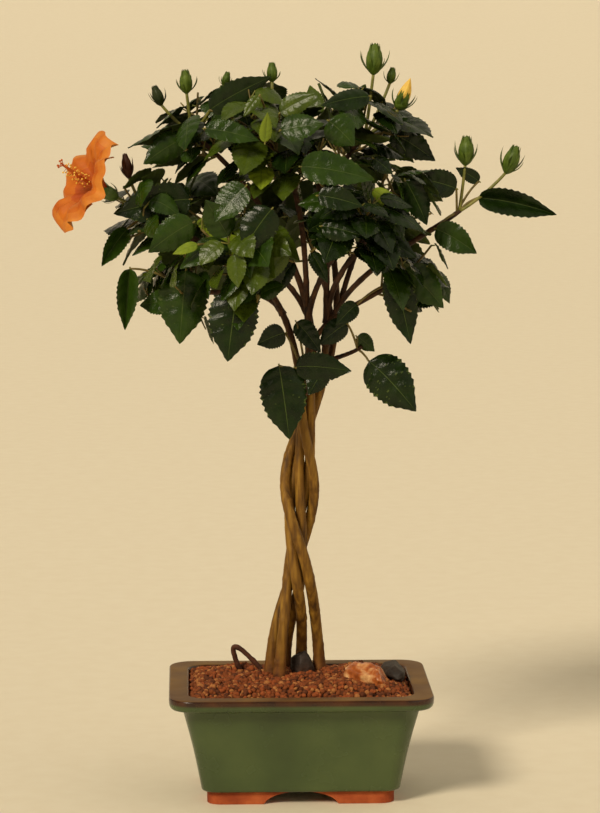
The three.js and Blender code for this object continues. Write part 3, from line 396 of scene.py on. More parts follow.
# Looks: tones, gloss, specular. The leaf's upper face goes from old to young, and its underside is last. The
# deepest green also serves as painted shade on the low leaves under the crown.
LEAF_LOOKS = {
    "leaf_deep_and_painted_shade": (((14, 26, 5), (25, 42, 8)), (0.16, 0.3), 0.24),
    "leaf_green": (((29, 48, 9), (45, 67, 14)), (0.16, 0.3), 0.24),
    "leaf_olive": (((52, 68, 13), (72, 88, 20)), (0.2, 0.34), 0.26),
    "leaf_young": (((100, 120, 24), (126, 144, 36)), (0.24, 0.4), 0.3),
    "leaf_under": (((48, 62, 18), (68, 82, 28)), (0.5, 0.7), 0.25),
}
BUD_LOOKS = {
    "bud_green": (((58, 80, 20), (92, 112, 34)), (0.4, 0.6), 0.3),
    "bud_dark": (((28, 40, 12), (48, 56, 20)), (0.4, 0.6), 0.3),
    "bud_red": (((58, 28, 12), (84, 48, 22)), (0.4, 0.6), 0.3),
    "bud_yellow": (((216, 164, 52), (240, 206, 96)), (0.45, 0.6), 0.5),
}
PETAL_LOOKS = {
    "petal_throat": (((158, 48, 12), (184, 74, 18)), (0.5, 0.7), 0.3),
    "petal_deep": (((164, 66, 8), (194, 96, 16)), (0.5, 0.7), 0.3),
    "petal_orange": (((178, 84, 10), (206, 116, 26)), (0.5, 0.7), 0.3),
    "petal_edge": (((186, 96, 16), (214, 136, 48)), (0.5, 0.7), 0.3),
}
YOUTH_LIMITS = (0.45, 0.9, 1.28)

# Floor, in metres: flat, and rising slowly far off, so that no horizon shows
FLOOR_RADIUS = 31
FLOOR_FLAT = 5
FLOOR_RISE = 6.5
FLOOR_SIDES = 96
FLOOR_STEPS = 24
FLOOR_DROP = -0.0002


# Small sums

def vec(values):
    return np.array(values, float)


def mix(a, b, t):
    return a + (b - a) * t


def smooth(t):
    return t * t * (3 - 2 * t)


def clamp01(t):
    return np.clip(t, 0, 1)


def unit(v):
    return v / np.linalg.norm(v)


def units(rows):
    return rows / np.maximum(np.linalg.norm(rows, axis=-1, keepdims=True), 1e-9)


def seeded(*parts):
    """A repeatable stream of numbers from a seed, whose digits may come in parts."""
    seed = 0
    for part in parts:
        seed = seed * 10 + part
    state = (seed * 2654435761) & 0xFFFFFFFF

    def draw(low=0.0, high=1.0):
        nonlocal state
        state = (state * 1664525 + 1013904223) & 0xFFFFFFFF
        return low + (high - low) * (state / 4294967296)

    return draw


def turned(points, angle, other_axis=1):
    """Points turned in the plane of the first axis and another."""
    matrix = np.eye(3)
    matrix[0, 0] = matrix[other_axis, other_axis] = math.cos(angle)
    matrix[0, other_axis] = math.sin(angle)
    matrix[other_axis, 0] = -math.sin(angle)
    return points @ matrix


def quarter_turn(steps):
    """Sine and cosine at even steps along a quarter turn."""
    return [(math.sin(angle), math.cos(angle)) for angle in np.arange(steps + 1) / steps * math.pi / 2]


def perpendicular(axis, angle):
    reference = RIGHT if abs(axis[2]) > 0.9 else UP
    across = unit(np.cross(reference, axis))
    return across * math.cos(angle) + np.cross(axis, across) * math.sin(angle)


def whorl(axis, count, offset=0.0):
    """Directions spread evenly round an axis."""
    return [perpendicular(axis, FULL_TURN * (k + offset) / count) for k in range(count)]


def bend(curve, t):
    """Points along a line with one bend, given by its start, control point and end."""
    start, control, end = curve
    t = np.asarray(t, float)[..., None]
    return mix(mix(start, control, t), mix(control, end, t), t)


def bent_line(curve, steps):
    return bend(curve, np.arange(steps + 1) / steps)


def bezier(curve, t):
    t = np.asarray(t, float)[..., None]
    s = 1 - t
    a, b, c, d = curve
    return a * s ** 3 + b * 3 * s * s * t + c * 3 * s * t * t + d * t ** 3


def bezier_tangent(curve, t):
    a, b, c, d = curve
    s = 1 - t
    return unit((b - a) * s * s + (c - b) * 2 * s * t + (d - c) * t * t)


def finer(line):
    """A line of points with more points between them, no further apart than the test step."""
    points = [line[0]]
    for a, b in zip(line[:-1], line[1:]):
        pieces = math.ceil(np.linalg.norm(b - a) / TEST_STEP)
        points += [mix(a, b, k / pieces) for k in range(1, pieces + 1)]
    return np.array(points)


# Limbs

def stem_point(stem, z):
    """The middle of a stem at a height: a ribbon of stems that twists as it rises and spreads to its feet."""
    below = LOWER_NECK_Z - z
    fall = LOWER_NECK_Z - SOIL_TOP_Z
    unwind = (FOOT_TWIST - math.pi / 2 + TWIST_RATE * fall) / (fall * fall)
    turn = math.pi / 2 - TWIST_RATE * below + (unwind * below * below if below > 0 else 0)
    height = clamp01((z - SOIL_TOP_Z) / (FORK_Z - SOIL_TOP_Z))
    middle = mix(*LEAN, height ** 4)
    along = RIBBON_PLACES[stem] * (RIBBON_HALF_WIDTH - NECK_NARROWING * math.sin(turn) ** 2)
    across = (1 if stem % 2 else -1) * (RIBBON_HALF_DEPTH + DEPTH_GAIN * (1 - height) ** 2)
    x = middle + along * math.cos(turn) - across * math.sin(turn)
    y = TRUNK_DEPTH + along * math.sin(turn) + across * math.cos(turn)
    splay = smooth(clamp01((SPLAY_Z - z) / (SPLAY_Z - SOIL_TOP_Z)))
    foot_x, foot_y = STEM_FEET[stem]
    return vec((mix(x, foot_x, splay), mix(y, foot_y, splay), z))


def stem_radius(z):
    height = clamp01((z - SOIL_TOP_Z) / (FORK_Z - SOIL_TOP_Z))
    flare = ROOT_FLARE * math.exp((SOIL_TOP_Z - z) / ROOT_FLARE_HEIGHT)
    swelling = STEM_SWELLING * math.sin(math.pi * height) ** 2
    return mix(STEM_RADIUS_LOW, STEM_RADIUS_FORK, height) + swelling + flare


def limb_curve(root, tangent, home, climb=CLIMB):
    """A limb's line from its root to the middle of its mass. It leaves along its parent and bends out."""
    reach = np.linalg.norm(home - root)
    outward = unit(vec((home[0] - root[0], home[1] - root[1], 0)))
    arrive = unit(outward * 0.8 + UP * 0.6)
    return (root, root + tangent * climb * reach, home - arrive * 0.3 * reach, home)


def limb_radius(limb, t):
    if t < limb["entry"]:
        return mix(limb["radius"], BOUGH_TIP_RADIUS, t / limb["entry"])
    return mix(BOUGH_TIP_RADIUS, TWIG_TIP_RADIUS, (t - limb["entry"]) / (1 - limb["entry"]))


def stretch(limb, start, end, steps):
    return bezier(limb["curve"], mix(start, end, np.arange(steps + 1) / steps))


def plan_limbs():
    """Every limb's line, and where along it its mass of leaves begins."""
    leaders = {}
    limbs = []
    for name, stem, off, home, shoots, seed in BOUGHS:
        leader = leaders.get(stem)
        if leader:
            root = bezier(leader["curve"], off)
            tangent = bezier_tangent(leader["curve"], off)
        else:
            root = stem_point(stem, FORK_Z)
            tangent = unit(stem_point(stem, FORK_Z + 0.5) - stem_point(stem, FORK_Z - 0.5))
        limb = {
            "name": name, "stem": stem, "home": vec(home), "seed": seed, "shoots": shoots,
            "leader": leader, "low": False, "radius": SIDE_BOUGH_RADIUS if leader else BOUGH_RADIUS,
            "curve": limb_curve(root, tangent, vec(home), FAR_CLIMBS.get(name, CLIMB)),
        }
        leaders.setdefault(stem, limb)
        limbs.append(limb)
    for name, stem, up, off, home, seed in LOW_TWIGS:
        root = bezier(leaders[stem]["curve"], off) if off else stem_point(stem, mix(SOIL_TOP_Z, FORK_Z, up))
        limbs.append({
            "name": name, "stem": stem, "home": vec(home), "seed": seed, "shoots": 0,
            "leader": None, "low": True, "radius": BOUGH_TIP_RADIUS,
            "curve": limb_curve(root, unit(vec(home) - root), vec(home)),
        })
    for limb in limbs:
        away = np.array([other["home"] - limb["home"] for other in limbs if other is not limb])
        distance = np.linalg.norm(away, axis=1)
        limb["walls"] = away / distance[:, None]
        limb["limits"] = distance / 2 - CELL_MARGIN
        entry = 1.0
        while entry > 0 and inside_cell(limb, bezier(limb["curve"], entry)[None]):
            entry -= 0.01
        limb["entry"] = 0.0 if limb["low"] else max(entry + 0.02, BOUGH_SHARE)
    return limbs


def inside_cell(limb, points):
    """A mass keeps to the points that are nearer to its own middle than to any other's."""
    return bool(np.all((points - limb["home"]) @ limb["walls"].T < limb["limits"]))


def inside_crown(points):
    offset = points - CROWN_MIDDLE
    height = np.where(offset[:, 2] < 0, CROWN_DROP, CROWN_RADII[2])
    share = (offset[:, 0] / CROWN_RADII[0]) ** 2 + (offset[:, 1] / CROWN_RADII[1]) ** 2
    arch = ((points[:, (0, 2)] - OPEN_ARCH["middle"]) / OPEN_ARCH["radii"]) ** 2
    return bool(np.all(share + (offset[:, 2] / height) ** 2 < 1) and np.all(arch.sum(1) > 1))


def bare_wood(limbs):
    """Points along all bare wood, with their radii and owners, that leaves and twigs keep clear of."""
    points, radii, owners = [], [], []
    for stem in range(len(RIBBON_PLACES)):
        for z in range(SOIL_TOP_Z, FORK_Z + 1, TEST_STEP):
            points.append(stem_point(stem, z))
            radii.append(stem_radius(z))
            owners.append("")
    for limb in limbs:
        line = finer(stretch(limb, 0, limb["entry"], BOUGH_STEPS))
        points += list(line)
        radii += [limb["radius"]] * len(line)
        owners += [limb["name"]] * len(line)
    return np.array(points), np.array(radii), np.array(owners)


# Growth of twigs, leaves and buds

def panel(start, end, side, first, last):
    along = end - start
    length = np.linalg.norm(along)
    along = along / length
    return start, along, length, unit(np.cross(side, along)), first, last


def blade_between(root, foot, start, end, facing, length, width):
    wide = foot + unit(start + end) * WIDEST * length
    tip = wide + end * (1 - WIDEST) * length
    side = unit(np.cross(tip - foot, facing))
    return {
        "root": root, "foot": foot, "wide": wide, "tip": tip, "side": side, "width": width,
        "panels": (panel(root, wide, side, 0, 1), panel(wide, tip, side, 1, 0)),
    }


def marked_blade(foot, tip, width, facing):
    """A leaf from its foot to its tip."""
    end = unit(tip - foot)
    bent = unit(end + UP * 0.35)
    leaf = blade_between(foot - end * 1.5, foot, bent, end, facing, np.linalg.norm(tip - foot), width)
    leaf["tip"] = tip
    return leaf


def leaf_points(leaf):
    """Points spread over a leaf, to test its place by."""
    points = []
    across = np.arange(-LEAF_GRID, LEAF_GRID + 1)[:, None] / LEAF_GRID
    rows = ((leaf["foot"], leaf["wide"], 0, 1, 3), (leaf["wide"], leaf["tip"], 1, 0, 5))
    for start, end, first, last, steps in rows:
        for i in range(1, steps + 1):
            half = (leaf["width"] / 2) * mix(first, last, i / steps)
            points.append(mix(start, end, i / steps) + leaf["side"] * half * across)
    return np.concatenate(points)


def points_near_leaf(leaf, points, clearance):
    """Which of the points come within a clearance of a leaf."""
    near = np.zeros(len(points), bool)
    for start, along, length, normal, first, last in leaf["panels"]:
        offset = points - start
        height = np.abs(offset @ normal)
        place = offset @ along
        half = (leaf["width"] / 2) * mix(first, last, clamp01(place / length))
        close = (height <= clearance) & (place >= -clearance) & (place <= length + clearance)
        near |= close & (np.abs(offset @ leaf["side"]) < half + clearance)
    return near


def near_leaf(leaf, points, clearance):
    return bool(points_near_leaf(leaf, points, clearance).any())


class Mass:
    """The twigs, leaves and buds that grow on one limb, inside the limb's own space."""

    def __init__(self, limb, bare):
        self.limb = limb
        self.bare = bare
        self.outward = unit(limb["home"] - CROWN_MIDDLE)
        self.twigs = []
        self.lines = []
        self.shoots = []
        self.buds = []
        self.leaves = []
        self.elsewhere = []
        self.spots = np.zeros((0, 3))

    def has_room(self, points):
        return inside_cell(self.limb, points) and inside_crown(points)

    def root_at(self, share):
        """A point on the stem of the mass, by its share of the way from the bough's end to the tip."""
        return bezier(self.limb["curve"], mix(self.limb["entry"], 1, share))

    def add_twig(self, curve, steps, radii, pedicel=False):
        self.twigs.append({"curve": curve, "radii": radii, "pedicel": pedicel})
        self.lines.append(finer(bent_line(curve, steps)))

    def add_leaf(self, leaf, spray, share):
        leaf.update(spray=spray, share=share, spots=leaf_points(leaf))
        self.leaves.append(leaf)
        self.spots = np.concatenate([self.spots, leaf["spots"]])

    def add_marked_leaf(self, foot, tip, width, facing=FRONT, **looks):
        """A leaf with a place of its own, and the twig that carries it."""
        root = self.root_at(LEAF_ROOT)
        control = mix(root, foot, 0.5) + UP * 0.18 * np.linalg.norm(foot - root)
        self.add_twig((root, control, foot), 2, (SHOOT_RADIUS, SHOOT_TIP_RADIUS))
        leaf = marked_blade(foot, tip, width, facing) | looks
        self.add_leaf(leaf, self.limb["seed"], 0.5)
        return leaf

    def add_bud(self, tip, size, kind):
        root = self.root_at(BUD_ROOT)
        rise = unit(unit(tip - root) + UP * 0.9)
        foot = tip - rise * BUD_LENGTH * size
        control = mix(root, foot, 0.55) - UP * 0.1 * np.linalg.norm(foot - root)
        self.add_twig((root, control, foot), 3, (SHOOT_RADIUS, PEDICEL_RADIUS), pedicel=True)
        self.buds.append({"foot": foot, "axis": rise, "size": size, "kind": kind})

    def add_bloom_stalk(self):
        root = self.root_at(BLOOM_ROOT)
        calyx, axis = vec(BLOOM["calyx"]), unit(vec(BLOOM["axis"]))
        control = calyx - axis * 0.4 * np.linalg.norm(calyx - root)
        self.add_twig((root, control, calyx), 3, (SHOOT_RADIUS, SHOOT_RADIUS), pedicel=True)

    def fits(self, leaf, clearance):
        points = leaf_points(leaf)
        if not self.has_room(points):
            return False
        wood, radii, _ = self.bare
        if near_leaf(leaf, wood, radii + LIMB_CLEARANCE):
            return False
        twigs = np.concatenate(self.lines)
        far = twigs[np.linalg.norm(twigs - leaf["root"], axis=1) > ROOT_ZONE]
        if near_leaf(leaf, far, min(TWIG_CLEARANCE, clearance)):
            return False
        return not near_leaf(leaf, self.spots, clearance)

    def clear_of_wood(self, line, clearance):
        wood, radii, owners = self.bare
        others = owners != self.limb["name"]
        gaps = np.linalg.norm(line[:, None] - wood[None, others], axis=2)
        return bool(np.all(gaps > radii[others] + clearance))

    def start(self):
        """The stem of the mass, and the leaves, buds and bloom that have a place of their own."""
        name, entry, curve = (self.limb[key] for key in ("name", "entry", "curve"))
        begin = entry + (0 if self.limb["low"] else GAP / np.linalg.norm(curve[3] - curve[0]))
        self.lines.append(finer(stretch(self.limb, begin, 1, 5)))
        for mass, foot, tip, width, fold, tone in OUTLINE_LEAVES:
            if mass == name:
                self.add_marked_leaf(vec(foot), vec(tip), width, fold=fold, tone=tone)
        for mass, tip, size, kind in BUDS:
            if mass == name:
                self.add_bud(vec(tip), size, kind)
        if BLOOM["mass"] == name:
            self.add_bloom_stalk()

    def count_as_wood(self, lines, girths):
        """Lines that growth keeps clear of from now on, each with its radius."""
        points, radii, owners = self.bare
        counts = [len(line) for line in lines]
        self.bare = (np.concatenate([points, *lines]), np.concatenate([radii, np.repeat(girths, counts)]),
                     np.concatenate([owners, np.full(sum(counts), "")]))

    def keep_clear_of(self, others):
        """What other masses have placed counts as wood and leaves that this one's growth keeps clear of."""
        lines = [line for mass in others for line in mass.lines[1:]]
        self.count_as_wood(lines, [SHOOT_RADIUS] * len(lines))
        self.elsewhere = [leaf for mass in others for leaf in mass.leaves]

    def keep_clear_of_buds(self, buds):
        """Buds count as wood that the finer growth keeps clear of."""
        lines = [finer([bud["foot"], bud["foot"] + bud["axis"] * BUD_LENGTH * bud["size"]]) for bud in buds]
        self.count_as_wood(lines, [BUD_RADIUS * bud["size"] for bud in buds])

    def sprout(self, root, aim, length, sag, clearance, leaves=()):
        """A twig's curve from its root, or nothing where it would leave the space or touch wood or leaves."""
        end = root + aim * length
        curve = (root, root + aim * 0.5 * length - UP * sag * length, end)
        line = finer(bent_line(curve, 2))
        if not (self.has_room(end[None]) and self.clear_of_wood(line, clearance)):
            return None
        return None if any(near_leaf(leaf, line, TWIG_CLEARANCE) for leaf in leaves) else curve

    def grow(self):
        """The shoots of the mass and the leaves on them, wherever there is room."""
        curve, entry, count = (self.limb[key] for key in ("curve", "entry", "shoots"))
        draw = seeded(self.limb["seed"])
        for number in range(count):
            t = mix(entry, 1, mix(0.15, 1, number / count) if number else 1)
            axis = bezier_tangent(curve, t)
            radial = perpendicular(axis, number * GOLDEN_ANGLE + draw(0, 1))
            lift = draw(-0.1, 0.6)
            length = draw(*SHOOT_LENGTH)
            ahead, sideways = (0.4, 1) if number else (1.2, 0.2)
            aim = unit(axis * ahead + radial * sideways + self.outward * 0.25 + UP * lift)
            line = self.sprout(bezier(curve, t), aim, length, SHOOT_SAG, SHOOT_CLEARANCE, self.elsewhere)
            if line:
                self.add_twig(line, 2, (SHOOT_RADIUS, SHOOT_TIP_RADIUS))
                self.shoots.append({"number": number, "curve": line, "aim": aim, "filled": set()})
        for attempt in range(ATTEMPTS):
            for shoot in self.shoots:
                for place in range(LEAVES_ON_SHOOT):
                    if place in shoot["filled"]:
                        continue
                    leaf = self.leaf_on_shoot(shoot, place, attempt)
                    if self.fits(leaf, LEAF_CLEARANCE):
                        self.add_leaf(leaf, self.spray(shoot), place / (LEAVES_ON_SHOOT - 1))
                        shoot["filled"].add(place)

    def spray(self, shoot):
        return self.limb["seed"] * 10 + shoot["number"]

    def leaf_on_shoot(self, shoot, place, attempt):
        """Leaves stand round a shoot by the golden angle, smaller towards its tip, and droop outwards."""
        draw = seeded(self.limb["seed"], shoot["number"], place, attempt)
        along = mix(FIRST_LEAF, 1, place / (LEAVES_ON_SHOOT - 1))
        around = perpendicular(shoot["aim"], place * GOLDEN_ANGLE + attempt * 1.3 + draw(-0.5, 0.5))
        droop = draw(*DROOP)
        size = draw(*LEAF_SIZE) * mix(1, 0.75, along ** 3) * (1 - ATTEMPT_SHRINK * attempt)
        return self.leaf_at(shoot, along, around, droop, size, draw(*ROLL))

    def leaf_on_fine_twig(self, shoot, place, attempt):
        draw = seeded(self.limb["seed"], shoot["number"], shoot["twig"], place, attempt)
        along = mix(FINE_FIRST_LEAF, 1, place / (FINE_LEAVES - 1))
        around = perpendicular(shoot["aim"], place * GOLDEN_ANGLE + draw(-1, 1))
        size = draw(*FINE_SIZE) * (1 - ATTEMPT_SHRINK * attempt)
        return self.leaf_at(shoot, along, around, draw(*DROOP), size, draw(*ROLL))

    def leaf_at(self, shoot, along, around, droop, size, roll):
        root = bend(shoot["curve"], along)
        out = around * 0.9 + shoot["aim"] * 0.3 + self.outward * 0.5
        rise = unit(out + UP * 0.3)
        fall = unit(unit(out) - UP * droop)
        facing = unit(UP * 0.6 + self.outward * 0.8 + perpendicular(fall, 0) * roll)
        length = LEAF_LENGTH * size
        foot = root + rise * PETIOLE * size
        return blade_between(root, foot, rise, fall, facing, length, length * LEAF_WIDTH_SHARE)

    def grow_finer(self):
        """Side twigs on the shoots, each with a few smaller leaves, where there is room."""
        fine = []
        for shoot in self.shoots:
            for number, along in enumerate(FINE_PLACES):
                draw = seeded(self.limb["seed"], shoot["number"], number, FINE_SEED)
                radial = perpendicular(shoot["aim"], number * 2.1 + draw(*PHASES))
                aim = unit(radial + shoot["aim"] * 0.6 + UP * draw(0, 0.6))
                root = bend(shoot["curve"], along)
                curve = self.sprout(root, aim, draw(*FINE_LENGTH), FINE_SAG, SHOOT_RADIUS)
                if curve:
                    fine.append({"number": shoot["number"], "twig": number, "curve": curve, "aim": aim})
        for shoot in fine:
            before = len(self.leaves)
            for place in range(FINE_LEAVES):
                for attempt in range(FINE_ATTEMPTS):
                    leaf = self.leaf_on_fine_twig(shoot, place, attempt)
                    if self.fits(leaf, FINE_CLEARANCE):
                        self.add_leaf(leaf, self.spray(shoot), place / (FINE_LEAVES - 1))
                        break
            if len(self.leaves) > before:
                self.add_twig(shoot["curve"], 2, FINE_RADII)


def add_front_leaves(masses):
    """The leaves seen in front, each at the depth where it cuts the fewest others, which give way to it."""
    by_name = {mass.limb["name"]: mass for mass in masses}
    front = []
    draw = seeded(FRONT_SEED)
    for name, foot, tip, width, tone in FRONT_LEAVES:
        facing = unit(FRONT + UP * draw(*FRONT_LIFT) + RIGHT * draw(*FRONT_TURN))
        grown = [leaf for mass in masses for leaf in mass.leaves]
        owners = np.repeat(np.arange(len(grown)), [len(leaf["spots"]) for leaf in grown])
        spots = np.concatenate([leaf["spots"] for leaf in grown])
        sight = unit(vec(foot) - EYE)
        trials = []
        for slide in FRONT_SLIDES:
            place = (vec(foot) + sight * slide, vec(tip) + sight * slide, width, facing)
            cut = np.unique(owners[points_near_leaf(marked_blade(*place), spots, FRONT_CLEARANCE)])
            trials.append((len(cut), abs(slide), place, cut))
        _, _, place, cut = min(trials, key=lambda trial: trial[:2])
        lost = [grown[index] for index in cut]
        for mass in masses:
            mass.leaves = [leaf for leaf in mass.leaves if not any(leaf is other for other in lost)]
        front.append(by_name[name].add_marked_leaf(*place, tone=tone))
    for mass in masses:
        mass.spots = np.concatenate([leaf["spots"] for leaf in mass.leaves + mass.elsewhere + front])


def grow_plant():
    limbs = plan_limbs()
    bare = bare_wood(limbs)
    masses = [Mass(limb, bare) for limb in limbs]
    for mass in masses:
        mass.start()
    for mass in masses:
        mass.keep_clear_of([other for other in masses if other is not mass])
    for mass in masses:
        mass.spots = np.concatenate([leaf["spots"] for leaf in mass.leaves + mass.elsewhere])
        mass.grow()
    add_front_leaves(masses)
    buds = [bud for mass in masses for bud in mass.buds]
    for mass in masses:
        mass.keep_clear_of_buds(buds)
        mass.grow_finer()
    return limbs, masses


# Meshes

def place_object(name, data):
    piece = bpy.data.objects.new(name, data)
    bpy.context.scene.collection.objects.link(piece)
    return piece


def grid_faces(rows, columns, closed=False, flip=False):
    """Quads of a grid of points, with its last column joined to its first where it is closed."""
    r, c = np.meshgrid(np.arange(rows - 1), np.arange(columns if closed else columns - 1), indexing="ij")
    after = (c + 1) % columns
    low, high = r * columns, (r + 1) * columns
    faces = np.stack([low + c, low + after, high + after, high + c], -1).reshape(-1, 4)
    return faces[:, ::-1] if flip else faces


def fan(middle, start, count, flip=False):
    """Triangles between a ring of points and its middle, by their places in the list of points."""
    ring = start + np.arange(count)
    after = np.roll(ring, -1)
    first, second = (after, ring) if flip else (ring, after)
    return np.stack([np.full(count, middle), first, second], -1)


class Builder:
    """Gathers points and faces of many small things into one mesh."""

    def __init__(self):
        self.points = []
        self.faces = []
        self.slots = []
        self.count = 0

    def add(self, points, *face_groups, slot=0):
        points = np.asarray(points, float).reshape(-1, 3)
        self.points.append(points)
        for faces in face_groups:
            self.faces.append(np.asarray(faces, int) + self.count)
            self.slots.append(np.broadcast_to(np.asarray(slot), (len(faces),)))
        self.count += len(points)

    def add_rings(self, rings, slot=0):
        self.add(rings, grid_faces(len(rings), len(rings[0]), closed=True), slot=slot)

    def add_lid(self, ring, flip=False):
        self.add(np.vstack([ring, np.mean(ring, 0)]), fan(len(ring), 0, len(ring), flip))

    def add_tube(self, line, radii, sides, slot=0, relief=0.0):
        """A closed tapering tube along a line, with no twist from ring to ring."""
        reach = np.broadcast_to(np.reshape(radii, (-1, 1)) + relief, (len(line), sides))
        tangents = units(np.gradient(line, axis=0))
        across = RIGHT if abs(tangents[0][2]) > 0.9 else UP
        rings = []
        for point, tangent, radius in zip(line, tangents, reach):
            across = unit(across - tangent * (across @ tangent))
            rings.append(ring_round(point, across, np.cross(tangent, across), radius))
        count = len(line) * sides
        caps = np.concatenate([fan(count, 0, sides, flip=True), fan(count + 1, count - sides, sides)])
        points = np.concatenate([*rings, line[:1], line[-1:]])
        self.add(points, grid_faces(len(line), sides, closed=True), caps, slot=slot)

    def add_sheet(self, grid, thickness, top, under):
        """A thin closed sheet: a grid of points, and a second one under it that meets it all round."""
        rows, columns = grid.shape[:2]
        normal = units(np.cross(np.gradient(grid, axis=1), np.gradient(grid, axis=0)))
        inside = np.zeros((rows, columns, 1))
        inside[1:-1, 1:-1] = thickness
        self.add(grid, grid_faces(rows, columns), slot=top)
        self.add(grid - normal * inside, grid_faces(rows, columns, flip=True), slot=under)

    def make(self, name, materials, replaces=(), crease=None):
        mesh = bpy.data.meshes.new(name)
        points = (np.concatenate(self.points) * MM + SHIFT).astype(np.float32)
        totals = np.concatenate([np.full(len(f), f.shape[1]) for f in self.faces])
        corners = np.concatenate([f.ravel() for f in self.faces])
        mesh.vertices.add(len(points))
        mesh.vertices.foreach_set("co", points.ravel())
        mesh.loops.add(len(corners))
        mesh.loops.foreach_set("vertex_index", corners.astype(np.int32))
        mesh.polygons.add(len(totals))
        mesh.polygons.foreach_set("loop_start", (np.cumsum(totals) - totals).astype(np.int32))
        mesh.polygons.foreach_set("material_index", np.concatenate(self.slots).astype(np.int32))
        mesh.polygons.foreach_set("use_smooth", np.full(len(totals), True))
        mesh.update(calc_edges=True)
        mesh.validate()
        for material in materials:
            mesh.materials.append(material)
        if crease is not None:
            mesh.set_sharp_from_angle(angle=crease)
        piece = place_object(name, mesh)
        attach(piece, "root")
        if replaces:
            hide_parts(*replaces)


def ring_round(middle, across, other, radius):
    """A ring of points round a middle, with a radius to each side."""
    angles = FULL_TURN * np.arange(len(radius)) / len(radius)
    return middle + (np.cos(angles) * radius)[:, None] * across + (np.sin(angles) * radius)[:, None] * other


def icosphere(subdivisions):
    shape = bmesh.new()
    bmesh.ops.create_icosphere(shape, subdivisions=subdivisions, radius=1)
    points = np.array([v.co for v in shape.verts])
    faces = np.array([[v.index for v in f.verts] for f in shape.faces])
    shape.free()
    return points, faces


# Materials

def rgb(red, green, blue):
    """A screen colour as the shader's linear colour."""
    def linear(value):
        share = value / 255
        return share / 12.92 if share <= 0.04045 else ((share + 0.055) / 1.055) ** 2.4
    return (linear(red), linear(green), linear(blue), 1)


class Surface:
    """A material, and the nodes that its patterns are made of."""

    def __init__(self, name, specular=0.5):
        self.material = bpy.data.materials.new(name)
        self.material.use_nodes = True
        self.tree = self.material.node_tree
        self.shader = self.tree.nodes["Principled BSDF"]
        self.shader.inputs["Specular IOR Level"].default_value = specular

    def feed(self, socket, source):
        self.tree.links.new(source, self.shader.inputs[socket])

    def node(self, kind, links=(), values=()):
        """A node of a kind, with some of its sockets linked and some set."""
        node = self.tree.nodes.new("ShaderNode" + kind)
        for socket, value in dict(values).items():
            node.inputs[socket].default_value = value
        for socket, source in dict(links).items():
            self.tree.links.new(source, node.inputs[socket])
        return node

    def place(self):
        return self.node("TexCoord").outputs["Object"]

    def upward(self, source):
        return self.node("SeparateXYZ", {"Vector": source}).outputs["Z"]

    def noise(self, scale, detail=4, stretched=(1, 1, 1)):
        mapping = self.node("Mapping", {"Vector": self.place()}, {"Scale": stretched})
        values = {"Scale": scale, "Detail": detail}
        return self.node("TexNoise", {"Vector": mapping.outputs["Vector"]}, values).outputs["Fac"]

    def ramp(self, source, *stops):
        """Colours that follow a value, each from a place on."""
        node = self.node("ValToRGB", {"Fac": source})
        elements = node.color_ramp.elements
        while len(elements) < len(stops):
            elements.new(0.5)
        for element, (place, colour) in zip(elements, stops):
            element.position = place
            element.color = rgb(*colour)
        return node.outputs["Color"]

    def blend(self, factor, first, second):
        node = self.node("Mix")
        node.data_type = "RGBA"
        for socket, source in ((0, factor), (6, first), (7, second)):
            self.tree.links.new(source, node.inputs[socket])
        return node.outputs[2]

    def spread(self, source, span, reach=(0, 1)):
        """A value that runs over a span while its source runs over a reach."""
        limits = zip(("To Min", "To Max", "From Min", "From Max"), (*span, *reach))
        return self.node("MapRange", {"Value": source}, limits).outputs["Result"]

    def height_share(self, low, high):
        """A share that runs from 0 at one height to 1 at another, in millimetres."""
        return self.spread(self.upward(self.place()), (0, 1), (low * MM, high * MM))

    def bump(self, height, distance, strength=1.0):
        node = self.node("Bump", {"Height": height}, {"Strength": strength, "Distance": distance})
        self.feed("Normal", node.outputs["Normal"])


def mottled(name, tones, scale, gloss, relief=None, specular=0.5, stretched=(1, 1, 1)):
    """A surface whose colour wanders between a few tones, with uneven gloss and fine relief."""
    surface = Surface(name, specular)
    stops = [(0.3 + 0.4 * i / (len(tones) - 1), tone) for i, tone in enumerate(tones)]
    surface.feed("Base Color", surface.ramp(surface.noise(scale, 5, stretched), *stops))
    surface.feed("Roughness", surface.spread(surface.noise(scale * 2.3, 3, stretched), gloss))
    if relief:
        height, relief_scale = relief
        surface.bump(surface.noise(relief_scale, 4, stretched), height)
    return surface.material


def mottled_set(looks, scale, relief):
    return [mottled(name, tones, scale, gloss, relief, specular)
            for name, (tones, gloss, specular) in looks.items()]


# Pot and what is in it

def rounded_ring(inset, radius, z, side_steps=1):
    """A level ring of points, with each straight side in a number of steps."""
    middle_x = RIM_LENGTH / 2 - inset - radius
    middle_y = RIM_WIDTH / 2 - inset - radius
    corners = []
    for quarter, (sign_x, sign_y) in enumerate(CORNERS):
        angles = (quarter + np.arange(CORNER_STEPS + 1) / CORNER_STEPS) * math.pi / 2
        x = sign_x * middle_x + radius * np.cos(angles)
        y = sign_y * middle_y + radius * np.sin(angles)
        corners.append(np.stack([x, y, np.full(len(angles), z)], -1))
    points = []
    for corner, following in zip(corners, corners[1:] + corners[:1]):
        points += [*corner]
        points += [mix(corner[-1], following[0], step / side_steps) for step in range(1, side_steps)]
    return np.array(points)


def soil_height(x, y):
    """The soil's surface: low heaps and hollows on a top that slopes down to the pot's wall."""
    margin = np.minimum(RIM_LENGTH / 2 - np.abs(x), RIM_WIDTH / 2 - np.abs(y)) - SOIL_EDGE_INSET
    turn = FULL_TURN / HEAP_PITCH
    heap = SOIL_HEAPS * np.sin(turn * x + 1) * np.cos(turn * y + 0.6)
    level = mix(SOIL_EDGE_Z, SOIL_TOP_Z, clamp01(margin / SOIL_SLOPE))
    return level + heap * clamp01(margin / HEAP_MARGIN)


